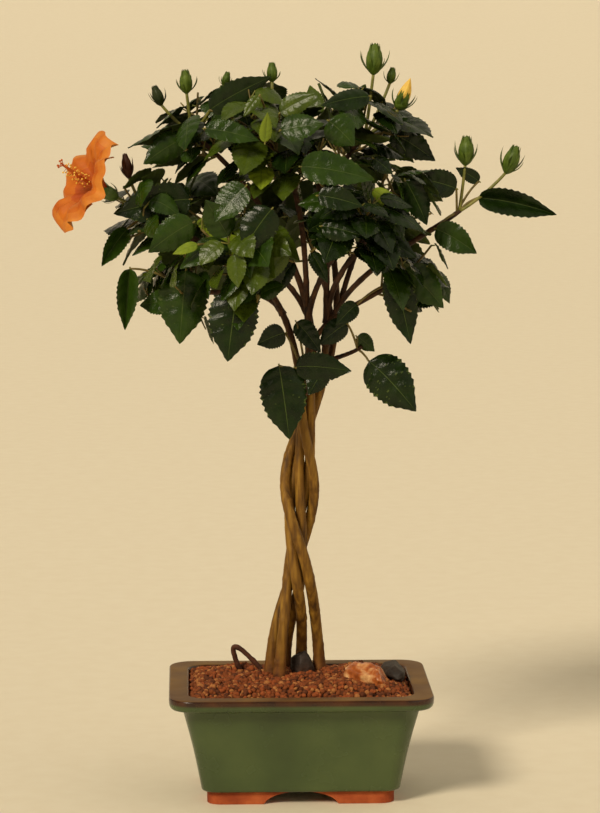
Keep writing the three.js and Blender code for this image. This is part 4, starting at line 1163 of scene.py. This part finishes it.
def glaze_material():
    """Green glaze on the body, worn to olive brown on the rim and dark along its edge."""
    glaze = Surface("green_glaze")
    body = glaze.ramp(glaze.noise(14, 5), (0.32, (52, 66, 34)), (0.5, (63, 79, 41)), (0.68, (75, 90, 48)))
    edge = glaze.ramp(glaze.noise(60), (0.35, (40, 16, 2)), (0.65, (70, 34, 5)))
    olive = glaze.ramp(glaze.noise(30), (0.35, (88, 54, 3)), (0.65, (114, 78, 8)))
    facing = glaze.upward(glaze.node("NewGeometry").outputs["Normal"])
    level = glaze.ramp(facing, (0.75, (0, 0, 0)), (0.97, (255, 255, 255)))
    banded = glaze.blend(glaze.height_share(POT_HEIGHT - 5.6, POT_HEIGHT - 3.6), body, edge)
    glaze.feed("Base Color", glaze.blend(level, banded, olive))
    gloss = glaze.spread(glaze.noise(40, 3), (0.18, 0.34))
    worn = glaze.spread(glaze.noise(40, 3), (0.5, 0.7))
    glaze.feed("Roughness", glaze.blend(level, gloss, worn))
    glaze.bump(glaze.noise(55, 3), 0.0004, 0.5)
    return glaze.material


def pot_profile():
    """The pot's section from its underside over the rim to its inner floor: inset, corner radius, height."""
    lip_foot = POT_HEIGHT - LIP_HEIGHT
    profile = [(BODY_INSET + 30, FLOOR_CORNER, FOOT_HEIGHT), (BODY_INSET + 4, FLOOR_CORNER, FOOT_HEIGHT)]
    for sin, cos in quarter_turn(4):
        inset = BODY_INSET + BOTTOM_ROUND * (1 - sin)
        profile.append((inset, FLOOR_CORNER, FOOT_HEIGHT + BOTTOM_ROUND * (1 - cos)))
    for share in np.arange(1, BODY_STEPS + 1) / BODY_STEPS:
        inset = mix(BODY_INSET, LIP_OVERHANG, share) + BODY_HOLLOW * math.sin(share * math.pi)
        height = mix(FOOT_HEIGHT + BOTTOM_ROUND, lip_foot - EDGE_ROUND, share)
        profile.append((inset, mix(FLOOR_CORNER, BODY_CORNER, share), height))
    profile += [
        (LIP_OVERHANG * 0.9, BODY_CORNER, lip_foot - 0.5),
        (LIP_OVERHANG * 0.65, BODY_CORNER + 1, lip_foot),
        (2.6, RIM_CORNER - 3, lip_foot + 1.2),
        (1.1, RIM_CORNER - 1.5, lip_foot + 2.6),
        (0.3, RIM_CORNER, lip_foot + 4.5),
        (0, RIM_CORNER, POT_HEIGHT - 2.2),
    ]
    for sin, cos in quarter_turn(4)[1:]:
        inset = EDGE_ROUND * (1 - cos)
        profile.append((inset, RIM_CORNER - inset, POT_HEIGHT - EDGE_ROUND * (1 - sin)))
    inner_z = POT_HEIGHT - 0.1
    profile += [(RIM_FLAT * 0.5, BODY_CORNER + 2, POT_HEIGHT - 0.5), (RIM_FLAT - 1, BODY_CORNER, inner_z)]
    for sin, cos in quarter_turn(3)[1:]:
        profile.append((RIM_FLAT - 1 + INNER_ROUND * sin, BODY_CORNER, inner_z - INNER_ROUND * (1 - cos)))
    profile.append((CAVITY_INSET + 3, BODY_CORNER, CAVITY_Z))
    profile.append((BODY_INSET + WALL, FLOOR_CORNER, FOOT_HEIGHT + WALL))
    return profile


def make_pot():
    rings = [rounded_ring(*row) for row in pot_profile()]
    builder = Builder()
    builder.add_rings(rings)
    builder.add_lid(rings[0], flip=True)
    builder.add_lid(rings[-1])
    builder.make("glazed_pot", [glaze_material()], ["pot"], crease=math.radians(50))
    clay_tones = ((128, 50, 20), (160, 74, 34), (182, 94, 48))
    clay = mottled("terracotta", clay_tones, 60, (0.7, 0.9), (0.0006, 300), 0.3)
    for node in FEET:
        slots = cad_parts[node].data.materials
        slots.clear()
        slots.append(clay)


def make_earth():
    edge = rounded_ring(SOIL_EDGE_INSET, BODY_CORNER, 0, EARTH_SIDE_STEPS)
    rings = [rounded_ring(CAVITY_INSET + 4, BODY_CORNER, CAVITY_Z, EARTH_SIDE_STEPS)]
    for k in range(EARTH_RINGS):
        ring = edge * (1 - k / EARTH_RINGS)
        ring[:, 2] = soil_height(ring[:, 0], ring[:, 1]) - EARTH_SUNK
        rings.append(ring)
    builder = Builder()
    builder.add_rings(rings)
    builder.add_lid(rings[-1])
    earth = mottled("dark_earth", ((46, 24, 14), (70, 36, 20)), 200, (0.85, 1.0), (0.001, 500), 0.2)
    builder.make("earth", [earth], ["soil"])


def make_gravel():
    looks = [mottled(name, tones, 400, (0.7, 0.95), (0.0005, 900), 0.3)
             for name, (_, *tones) in GRAVEL.items()]
    shares = [share for share, *_ in GRAVEL.values()]
    random = np.random.default_rng(GRAVEL_SEED)
    ball, faces = icosphere(2)
    half = vec((RIM_LENGTH, RIM_WIDTH)) / 2 - CAVITY_INSET - GRAIN_MARGIN
    feet = np.array([stem_point(stem, SOIL_TOP_Z)[:2] for stem in range(len(STEM_FEET))])
    builder = Builder()
    for x in np.arange(-half[0], half[0], GRAIN_SPACING):
        for y in np.arange(-half[1], half[1], GRAIN_SPACING):
            at = np.array([x, y]) + random.uniform(*GRAIN_JITTER, 2)
            size = GRAIN_RADIUS * random.uniform(*GRAIN_SIZES)
            flattening = random.uniform(*GRAIN_SHAPES, 3)
            lumps = random.uniform(*GRAIN_LUMPS, len(ball))
            turn = random.uniform(0, FULL_TURN)
            tilt = random.uniform(*GRAIN_TILT)
            slot = random.choice(len(looks), p=shares)
            lift = random.uniform(*GRAIN_LIFT)
            corner = np.linalg.norm(np.maximum(np.abs(at) - half + GRAIN_CORNER, 0))
            if corner > GRAIN_CORNER or np.linalg.norm(feet - at, axis=1).min() < STEM_CLEARANCE:
                continue
            grain = turned(turned(ball * lumps[:, None] * flattening * size, turn), tilt, 2)
            builder.add(grain + vec((*at, soil_height(*at) - GRAIN_SUNK + lift)), faces, slot=slot)
    builder.make("gravel", looks)


def ripples(random, points, count, pitch):
    """A sum of waves that cross points in all directions."""
    waves = random.normal(0, pitch, (count, 3))
    return np.sin(points @ waves.T + random.uniform(0, FULL_TURN, count)).sum(1)


def make_stones():
    ball, faces = icosphere(5)
    for node, stone in STONES.items():
        random = np.random.default_rng(stone["seed"])
        shape = ball * np.clip(1 + 0.03 * ripples(random, ball, *LUMP_WAVES), 0.85, 1.06)[:, None]
        for normal in units(random.normal(0, 1, (stone["breaks"], 3))):
            past = np.maximum(shape @ normal - random.uniform(*BREAK_REACH), 0)
            shape = shape - past[:, None] * normal
        rough = 1 + stone["crags"] * ripples(random, ball, *CRAG_WAVES)
        shape = shape * rough[:, None] * stone["half"] * 1.02
        shape[:, 2] = np.maximum(shape[:, 2], -STONE_SUNK)
        builder = Builder()
        builder.add(turned(shape, stone["turn"]) + vec((*stone["at"], SOIL_TOP_Z)), faces)
        # The near-black tones of stone_dark are painted shadow; the other stones take their own colours.
        look = mottled(node + "_surface", stone["tones"], stone["mottling"], stone["gloss"], (0.0008, 260))
        builder.make(node + "_rock", [look], [node], crease=math.radians(30))


# Wood

def bark_relief(line, sides, bark, number=0):
    """Lengthwise ridges, cross wrinkles and swollen joints of a bark along a line, as ring offsets."""
    depth, seed, joint_spacing = bark
    random = np.random.default_rng(seed + number)
    angles = FULL_TURN * np.arange(sides) / sides
    place = np.concatenate([[0], np.cumsum(np.linalg.norm(np.diff(line, axis=0), axis=1))])[:, None]
    relief = np.zeros((len(line), sides))
    for count, lobes, pitches, height in BARK_WAVES:
        for _ in range(count):
            around = random.integers(*lobes) * angles
            along = random.uniform(*pitches) * place
            relief += np.sin(around + along + random.uniform(*PHASES)) * height
    for start in np.arange(random.uniform(8, joint_spacing), place[-1, 0], joint_spacing):
        at = start + random.uniform(-5, 5)
        lean = np.cos(angles - random.uniform(*PHASES))
        relief += np.exp(-((place - at) / 2.0) ** 2) * (0.9 + 0.7 * lean)
    return relief * depth


def limb_rings(limb, count):
    """Points along a whole limb, and its radius at each."""
    places = np.linspace(0, 1, count)
    return bezier(limb["curve"], places), np.array([limb_radius(limb, t) for t in places])


def near_start(line, reach):
    """A share that fades along a line from 1 at its start."""
    return np.exp(-np.linalg.norm(line - line[0], axis=1) / reach)


def trunk_material():
    """Yellowish bark, redder at the soil and darker above the fork."""
    bark = Surface("trunk_bark", 0.3)
    grain = bark.noise(260, 6, (1, 1, 0.12))
    tone = bark.ramp(grain, (0.3, (70, 44, 10)), (0.5, (116, 80, 22)), (0.7, (154, 115, 40)))
    base = bark.ramp(bark.noise(180, 5), (0.35, (76, 38, 14)), (0.65, (120, 72, 28)))
    above = bark.ramp(bark.noise(220, 5), (0.3, (34, 18, 10)), (0.7, (84, 52, 26)))
    risen = bark.blend(bark.height_share(FORK_Z + 2, FORK_Z + 44), tone, above)
    bark.feed("Base Color", bark.blend(bark.height_share(124, 92), risen, base))
    bark.feed("Roughness", bark.spread(bark.noise(120, 3), (0.5, 0.85)))
    bark.bump(grain, 0.0006, 0.7)
    return bark.material


def make_stems(limbs):
    bark = trunk_material()
    heights = np.arange(SOIL_TOP_Z - STEM_SUNK, FORK_Z, STEM_STEP)
    for stem in range(len(RIBBON_PLACES)):
        leader = next(limb for limb in limbs if limb["stem"] == stem)
        climb, slim = limb_rings(leader, LEADER_STEPS)
        line = np.concatenate([[stem_point(stem, z) for z in heights], climb])
        low_radii = [stem_radius(max(z, SOIL_TOP_Z)) for z in heights]
        radii = np.concatenate([low_radii, mix(slim, STEM_RADIUS_FORK, near_start(climb, LEADER_FADE))])
        builder = Builder()
        builder.add_tube(line, radii, STEM_SIDES, relief=bark_relief(line, STEM_SIDES, STEM_BARK, stem))
        nodes = [f"stem_{stem + 1}", "bough_" + leader["name"]]
        builder.make(f"bark_stem_{stem + 1}", [bark], nodes)


def make_side_boughs(limbs):
    bark = mottled("bough_bark", ((34, 18, 10), (60, 35, 18), (88, 56, 28)), 220, (0.5, 0.8), (0.0006, 500),
                   0.3, (1, 1, 0.3))
    builder = Builder()
    for number, limb in enumerate(limb for limb in limbs if limb["leader"] or limb["low"]):
        line, radii = limb_rings(limb, BOUGH_RINGS)
        relief = bark_relief(line, BOUGH_SIDES, BOUGH_BARK, number)
        builder.add_tube(line, radii + near_start(line, BOUGH_FADE), BOUGH_SIDES, relief=relief)
    nodes = ["bough_" + limb["name"] for limb in limbs if limb["leader"]]
    builder.make("bark_side_boughs", [bark], nodes)


def make_arched_root():
    line = bent_line([vec(point) for point in ROOT_ARCH], 50)
    builder = Builder()
    builder.add_tube(line, ROOT_ARCH_RADIUS, ROOT_SIDES, relief=bark_relief(line, ROOT_SIDES, ROOT_BARK))
    bark = mottled("root_bark", ((52, 26, 16), (84, 46, 28)), 200, (0.6, 0.85), (0.0005, 500), 0.3)
    builder.make("arched_root", [bark], ["root_arch"])


# Leaves

def leaf_profile(t):
    """Half the blade's width as a share of the most: round at the foot, drawn out at the tip."""
    shape = t ** 0.5 * (1 - t) ** 0.72 / (0.41 ** 0.5 * 0.59 ** 0.72)
    return shape * (1 - 0.4 * smooth(clamp01((t - 0.7) / 0.3)))


def blade_grid(leaf, draw):
    """The upper face of a leaf: toothed, folded at its midrib, quilted between veins and curling down."""
    t = LEAF_ROWS[:, None]
    u = LEAF_COLUMNS[None, :]
    half = leaf["width"] / 2
    spine = bent_line((leaf["foot"], leaf["wide"], leaf["tip"]), len(LEAF_ROWS) - 1)
    tangent = units(np.gradient(spine, axis=0))
    normal = units(np.cross(leaf["side"], tangent))
    teeth = np.where(np.arange(len(LEAF_ROWS)) % 2, 1 + TOOTH, 1 - TOOTH)[:, None]
    toothed = mix(1, teeth, smooth(clamp01((t - 0.15) / 0.2)) * np.abs(u) ** 6)
    width = half * (leaf_profile(t) * toothed + 0.012)
    fold = draw(0.02, 0.3)
    curl = draw(0.1, 0.42)
    wave = draw(0.0, 0.12)
    phase = draw(*PHASES)
    quilt = draw(0.018, 0.032) * leaf["width"]
    reach = np.abs(u)
    veins = np.cos(FULL_TURN * (SIDE_VEINS * t - 0.9 * reach)) * reach * (1.15 - reach) * 3
    lift = width * reach * fold - width * u * u * curl
    lift = lift + quilt * veins * leaf_profile(t) + half * wave * np.sin(7 * t + phase + u) * u * u
    groove = np.where(reach < 0.03, -0.25, 0)
    shut = leaf.get("fold", 0)
    lift = lift + groove + width * reach * math.sin(shut)
    across = leaf["side"] * (u * width * math.cos(shut))[..., None]
    return spine[:, None] + across + normal[:, None] * lift[..., None]


def leaf_groups(masses):
    """Masses from left to right, those at the back last, in groups of a bounded number of leaves."""
    groups = [[]]
    for mass in sorted(masses, key=lambda mass: (mass.limb["home"][1] > BACK_DEPTH, mass.limb["home"][0])):
        held = sum(len(other.leaves) for other in groups[-1])
        if groups[-1] and held + len(mass.leaves) > LEAVES_IN_PIECE:
            groups.append([])
        groups[-1].append(mass)
    return groups


def leaf_tone(leaf, draw):
    """Which green a leaf takes: dealt out by spray, younger towards the end of a shoot."""
    # A placed leaf keeps its given tone; on the low leaves under the crown the deepest green is painted
    # shade.
    if "tone" in leaf:
        return leaf["tone"]
    youth = seeded(leaf["spray"])() + draw(-0.2, 0.2) + 0.25 * leaf["share"] ** 3
    return np.searchsorted(YOUTH_LIMITS, youth, side="right")


def make_foliage(masses):
    looks = mottled_set(LEAF_LOOKS, LEAF_MOTTLING, LEAF_RELIEF)
    looks.append(mottled("leaf_vein", ((48, 64, 18), (70, 86, 28)), 120, (0.3, 0.45), specular=0.3))
    under_slot = len(LEAF_LOOKS) - 1
    vein_slot = len(LEAF_LOOKS)
    columns = np.tile(np.arange(len(LEAF_COLUMNS) - 1), len(LEAF_ROWS) - 1)
    for number, members in enumerate(leaf_groups(masses), 1):
        builder = Builder()
        for mass in members:
            for index, leaf in enumerate(mass.leaves):
                draw = seeded(mass.limb["seed"] * LEAF_SEEDS + index)
                grid = blade_grid(leaf, draw)
                slots = np.where(columns == VEIN_COLUMN, vein_slot, leaf_tone(leaf, draw))
                builder.add_sheet(grid, LEAF_THICKNESS, slots, under_slot)
        nodes = ["leaves_" + mass.limb["name"] for mass in members]
        builder.make(f"foliage_{number}", looks, nodes)


def make_stalks_and_twigs(masses):
    green = mottled("leaf_stalk", ((98, 104, 38), (132, 126, 54)), 200, (0.4, 0.6), (0.0003, 600))
    bark = mottled("shoot_bark", ((84, 72, 30), (122, 106, 48)), 200, (0.5, 0.75), (0.0004, 600))
    stalks = Builder()
    twigs = Builder()
    for members in leaf_groups(masses):
        for leaf in (leaf for mass in members for leaf in mass.leaves):
            control = mix(leaf["root"], leaf["foot"], 0.5) - UP * STALK_SAG
            line = bent_line((leaf["root"], control, leaf["foot"]), STALK_STEPS)
            stalks.add_tube(line, np.linspace(*STALK_RADII, STALK_STEPS + 1), STALK_SIDES)
    for twig in (twig for mass in masses for twig in mass.twigs):
        girth = PEDICEL_GIRTH if twig["pedicel"] else 1
        radii = np.linspace(*twig["radii"], TWIG_STEPS + 1) * girth
        twigs.add_tube(bent_line(twig["curve"], TWIG_STEPS), radii, TWIG_SIDES, int(twig["pedicel"]))
    stalks.make("leaf_stalks", [green])
    twigs.make("twigs", [bark, green])


# Buds and bloom

def revolved(foot, axis, profile, lobes):
    """Rings round an axis through heights and radii, with five shallow lobes."""
    across = perpendicular(axis, 0)
    other = np.cross(axis, across)
    swelling = 1 + lobes * np.cos(5 * FULL_TURN * np.arange(BUD_SIDES) / BUD_SIDES)
    return [ring_round(foot + axis * height, across, other, radius * swelling) for height, radius in profile]


def add_bract(builder, foot, axis, out, length, width, flare, slot):
    """A narrow pointed blade that leaves the axis outwards and bends up."""
    side = np.cross(axis, out)
    t = np.linspace(0, 1, 8)
    outward = (flare * np.sin(t * 1.7))[:, None] * length
    line = foot + out * outward + axis * (t ** 1.25 * length * 0.9)[:, None]
    half = (width / 2 * (np.sin(np.pi * t ** 0.7) ** 0.8 * 0.95 + 0.05))[:, None]
    u = np.array([-1, 0, 1])
    grid = line[:, None] + side * (half * u)[..., None] + out * (-0.25 * half * np.abs(u))[..., None]
    builder.add_sheet(grid, 0.35, slot, slot)


def make_buds(masses):
    builder = Builder()
    for bud in (bud for mass in masses for bud in mass.buds):
        kind, size, axis, foot = (bud[key] for key in ("kind", "size", "axis", "foot"))
        slot = BUD_TONES[kind]
        length = BUD_LENGTH * size
        radius = BUD_RADIUS * size * BUD_GIRTHS[kind]
        if kind == "opening":
            sepal_share = OPENING_SEPAL_SHARE
            calyx = [(h * length * 0.5, r * radius * 0.9) for h, r in BUD_SHAPE[:CALYX_STEPS]]
            builder.add_rings(revolved(foot, axis, calyx, 0.06), slot)
            petals = [(length * mix(0.2, 1.05, t), radius * 0.8 * math.sin(math.pi * (0.3 + 0.7 * t)))
                      for t in np.arange(11) / 10]
            builder.add_rings(revolved(foot, axis, petals, 0.12), PETAL_TONE)
        else:
            sepal_share = SEPAL_SHARE
            outline = [(h * length * 0.94, r * radius * 0.92) for h, r in BUD_SHAPE]
            builder.add_rings(revolved(foot, axis, outline, 0.08), slot)
        draw = seeded(int(1000 * size) + len(builder.points))
        for out in whorl(axis, SEPALS):
            start = foot + axis * length * 0.3 + out * radius * 0.9
            rise = unit(axis - out * 0.21)
            add_bract(builder, start, rise, out, length * sepal_share, radius * 1.1, 0.06, slot)
        for out in whorl(axis, BRACTS, 0.4):
            reach = length * draw(0.5, 0.85)
            flare = radius * draw(1.0, 1.7) / reach
            add_bract(builder, foot + out * radius * 0.3, axis, out, reach, 3.2 * size, flare, slot)
    builder.make("buds", mottled_set(BUD_LOOKS, BUD_MOTTLING, BUD_RELIEF))


def petal_grid(calyx, axis, number):
    """The inner face of a petal: a ruffled fan that opens from the throat and turns back at its rim."""
    draw = seeded(PETAL_SEED + number)
    v = np.linspace(0, 1, PETAL_GRID)[:, None]
    u = np.linspace(-1, 1, PETAL_GRID)[None, :]
    angle = FULL_TURN * number / PETALS + u * PETAL_SPREAD * (0.82 + 0.18 * v ** 0.6)
    rim = 1 - 0.1 * u ** 4 - 0.05 * np.cos(FULL_TURN * u)
    radius = PETAL_FOOT + (PETAL_REACH - PETAL_FOOT) * v ** 1.15 * rim
    height = 3 + 27 * np.sin(v * math.pi * 0.56) ** 0.9 + 1.3 * u * v
    ruffle = v ** 2.2 * (4.2 * np.sin(5.3 * u + draw(*PHASES)) + 2.2 * np.sin(11 * u + draw(*PHASES)))
    rib = 0.35 * np.cos(9 * math.pi * u) * v * (1 - v) * 4
    height = height + ruffle + rib - 4.5 * np.maximum(v - 0.75, 0) * 4 * draw(0.2, 1.2)
    across = perpendicular(axis, 0)
    sideways = across * np.cos(angle)[..., None] + np.cross(axis, across) * np.sin(angle)[..., None]
    return calyx + axis * height[..., None] + sideways * radius[..., None]


def make_bloom():
    calyx, axis = vec(BLOOM["calyx"]), unit(vec(BLOOM["axis"]))
    petals = mottled_set(PETAL_LOOKS, PETAL_MOTTLING, PETAL_RELIEF)
    face_rows = np.repeat(np.arange(PETAL_GRID - 1), PETAL_GRID - 1)
    bands = np.searchsorted(PETAL_BANDS, face_rows, side="right")
    builder = Builder()
    for number in range(PETALS):
        builder.add_sheet(petal_grid(calyx, axis, number), 0.5, bands, bands)
    builder.make("bloom_petals", petals)

    builder = Builder()
    tip = calyx + axis * (COLUMN_LENGTH + 6) + UP * 5
    line = bent_line((calyx + axis * 2, calyx + axis * COLUMN_LENGTH * 0.6, tip), COLUMN_STEPS)
    builder.add_tube(line, np.linspace(1.9, 1.1, COLUMN_STEPS + 1), 10)
    ball, faces = icosphere(2)
    draw = seeded(STAMEN_SEED)
    for k in range(STAMENS):
        at = line[int(mix(0.5, 0.97, k / (STAMENS - 1)) * COLUMN_STEPS)]
        end = at + perpendicular(axis, k * GOLDEN_ANGLE) * draw(3, 5.5) + axis * draw(0, 2)
        builder.add_tube(bent_line((at, mix(at, end, 0.5), end), 3), 0.22, 4)
        builder.add(ball * draw(0.6, 0.9) + end, faces, slot=1)
    for out in whorl(axis, STIGMAS):
        end = tip + unit(axis + out * 0.8) * 5
        builder.add_tube(bent_line((tip, mix(tip, end, 0.5) + axis * 0.5, end), 4), 0.35, 5)
        builder.add(ball * 0.9 + end, faces)
    pollen = mottled("pollen", ((226, 160, 40), (240, 200, 90)), 300, (0.6, 0.8))
    builder.make("bloom_column", [petals[1], pollen])

    builder = Builder()
    foot = calyx - axis * 4
    builder.add_rings(revolved(foot, axis, BLOOM_CUP, 0.05))
    for out in whorl(axis, SEPALS):
        add_bract(builder, foot + axis * 9 + out * 5.1, unit(axis + out * 0.15), out, 13, 5.4, 0.1, 0)
    for out in whorl(axis, BRACTS, 0.3):
        add_bract(builder, foot + out * 2, axis, out, 11, 1.8, 0.6, 0)
    green = mottled("calyx_green", ((70, 96, 40), (100, 126, 58)), BUD_MOTTLING, (0.4, 0.6), BUD_RELIEF)
    builder.make("bloom_calyx", [green])


# Stage

def make_floor():
    rings = []
    for sin, cos in quarter_turn(FLOOR_STEPS):
        radius = np.full(FLOOR_SIDES, mix(FLOOR_FLAT, FLOOR_RADIUS, sin))
        rings.append(ring_round(UP * (FLOOR_DROP + FLOOR_RISE * (1 - cos)), RIGHT, -FRONT, radius))
    faces = grid_faces(FLOOR_STEPS + 1, FLOOR_SIDES, closed=True, flip=True).tolist()
    mesh = bpy.data.meshes.new("floor")
    mesh.from_pydata(np.concatenate(rings).tolist(), [], [list(range(FLOOR_SIDES))] + faces)
    mesh.shade_smooth()
    mesh.polygons[0].use_smooth = False
    mesh.materials.append(mottled("pale_floor", ((228, 217, 194), (231, 221, 199)), 50, (0.7, 0.8)))
    floor = place_object("floor", mesh)


def point_from(piece, place, direction):
    """Stands a light or camera at a place and points it in a direction."""
    piece.location = place
    piece.rotation_mode = "QUATERNION"
    piece.rotation_quaternion = Vector(direction).to_track_quat("-Z", "Y")


def soft_sun(name, source, strength, spread_degrees, colour):
    """Even light from one side, soft as from a wide sky."""
    data = bpy.data.lights.new(name, "SUN")
    data.energy = strength
    data.angle = math.radians(spread_degrees)
    data.color = colour
    point_from(place_object(name, data), source, -vec(source))


def make_lights():
    world = bpy.data.worlds.new("studio")
    world.use_nodes = True
    background = world.node_tree.nodes["Background"]
    background.inputs["Color"].default_value = (1.0, 0.9, 0.72, 1)
    background.inputs["Strength"].default_value = 0.16
    bpy.context.scene.world = world
    soft_sun("key", (-1.3, -1.7, 1.7), 2.5, 16, (1.0, 0.88, 0.68))
    soft_sun("fill", (1.7, -1.5, 0.9), 0.55, 70, (1.0, 0.9, 0.72))
    soft_sun("back", (0.6, 1.3, 1.9), 0.9, 110, (1.0, 0.87, 0.64))


def make_camera():
    bpy.context.scene.view_settings.view_transform = "Standard"
    data = bpy.data.cameras.new("camera")
    data.lens = LENS_MM
    data.sensor_width = SENSOR_MM
    data.clip_end = 2 * FLOOR_RADIUS
    camera = place_object("camera", data)
    point_from(camera, EYE * MM + SHIFT, (AIM - EYE) * MM)
    bpy.context.scene.camera = camera


make_camera()
make_lights()
make_floor()
make_pot()
make_earth()
make_gravel()
make_stones()
LIMBS, MASSES = grow_plant()
make_stems(LIMBS)
make_side_boughs(LIMBS)
make_arched_root()
make_foliage(MASSES)
make_stalks_and_twigs(MASSES)
make_buds(MASSES)
make_bloom()
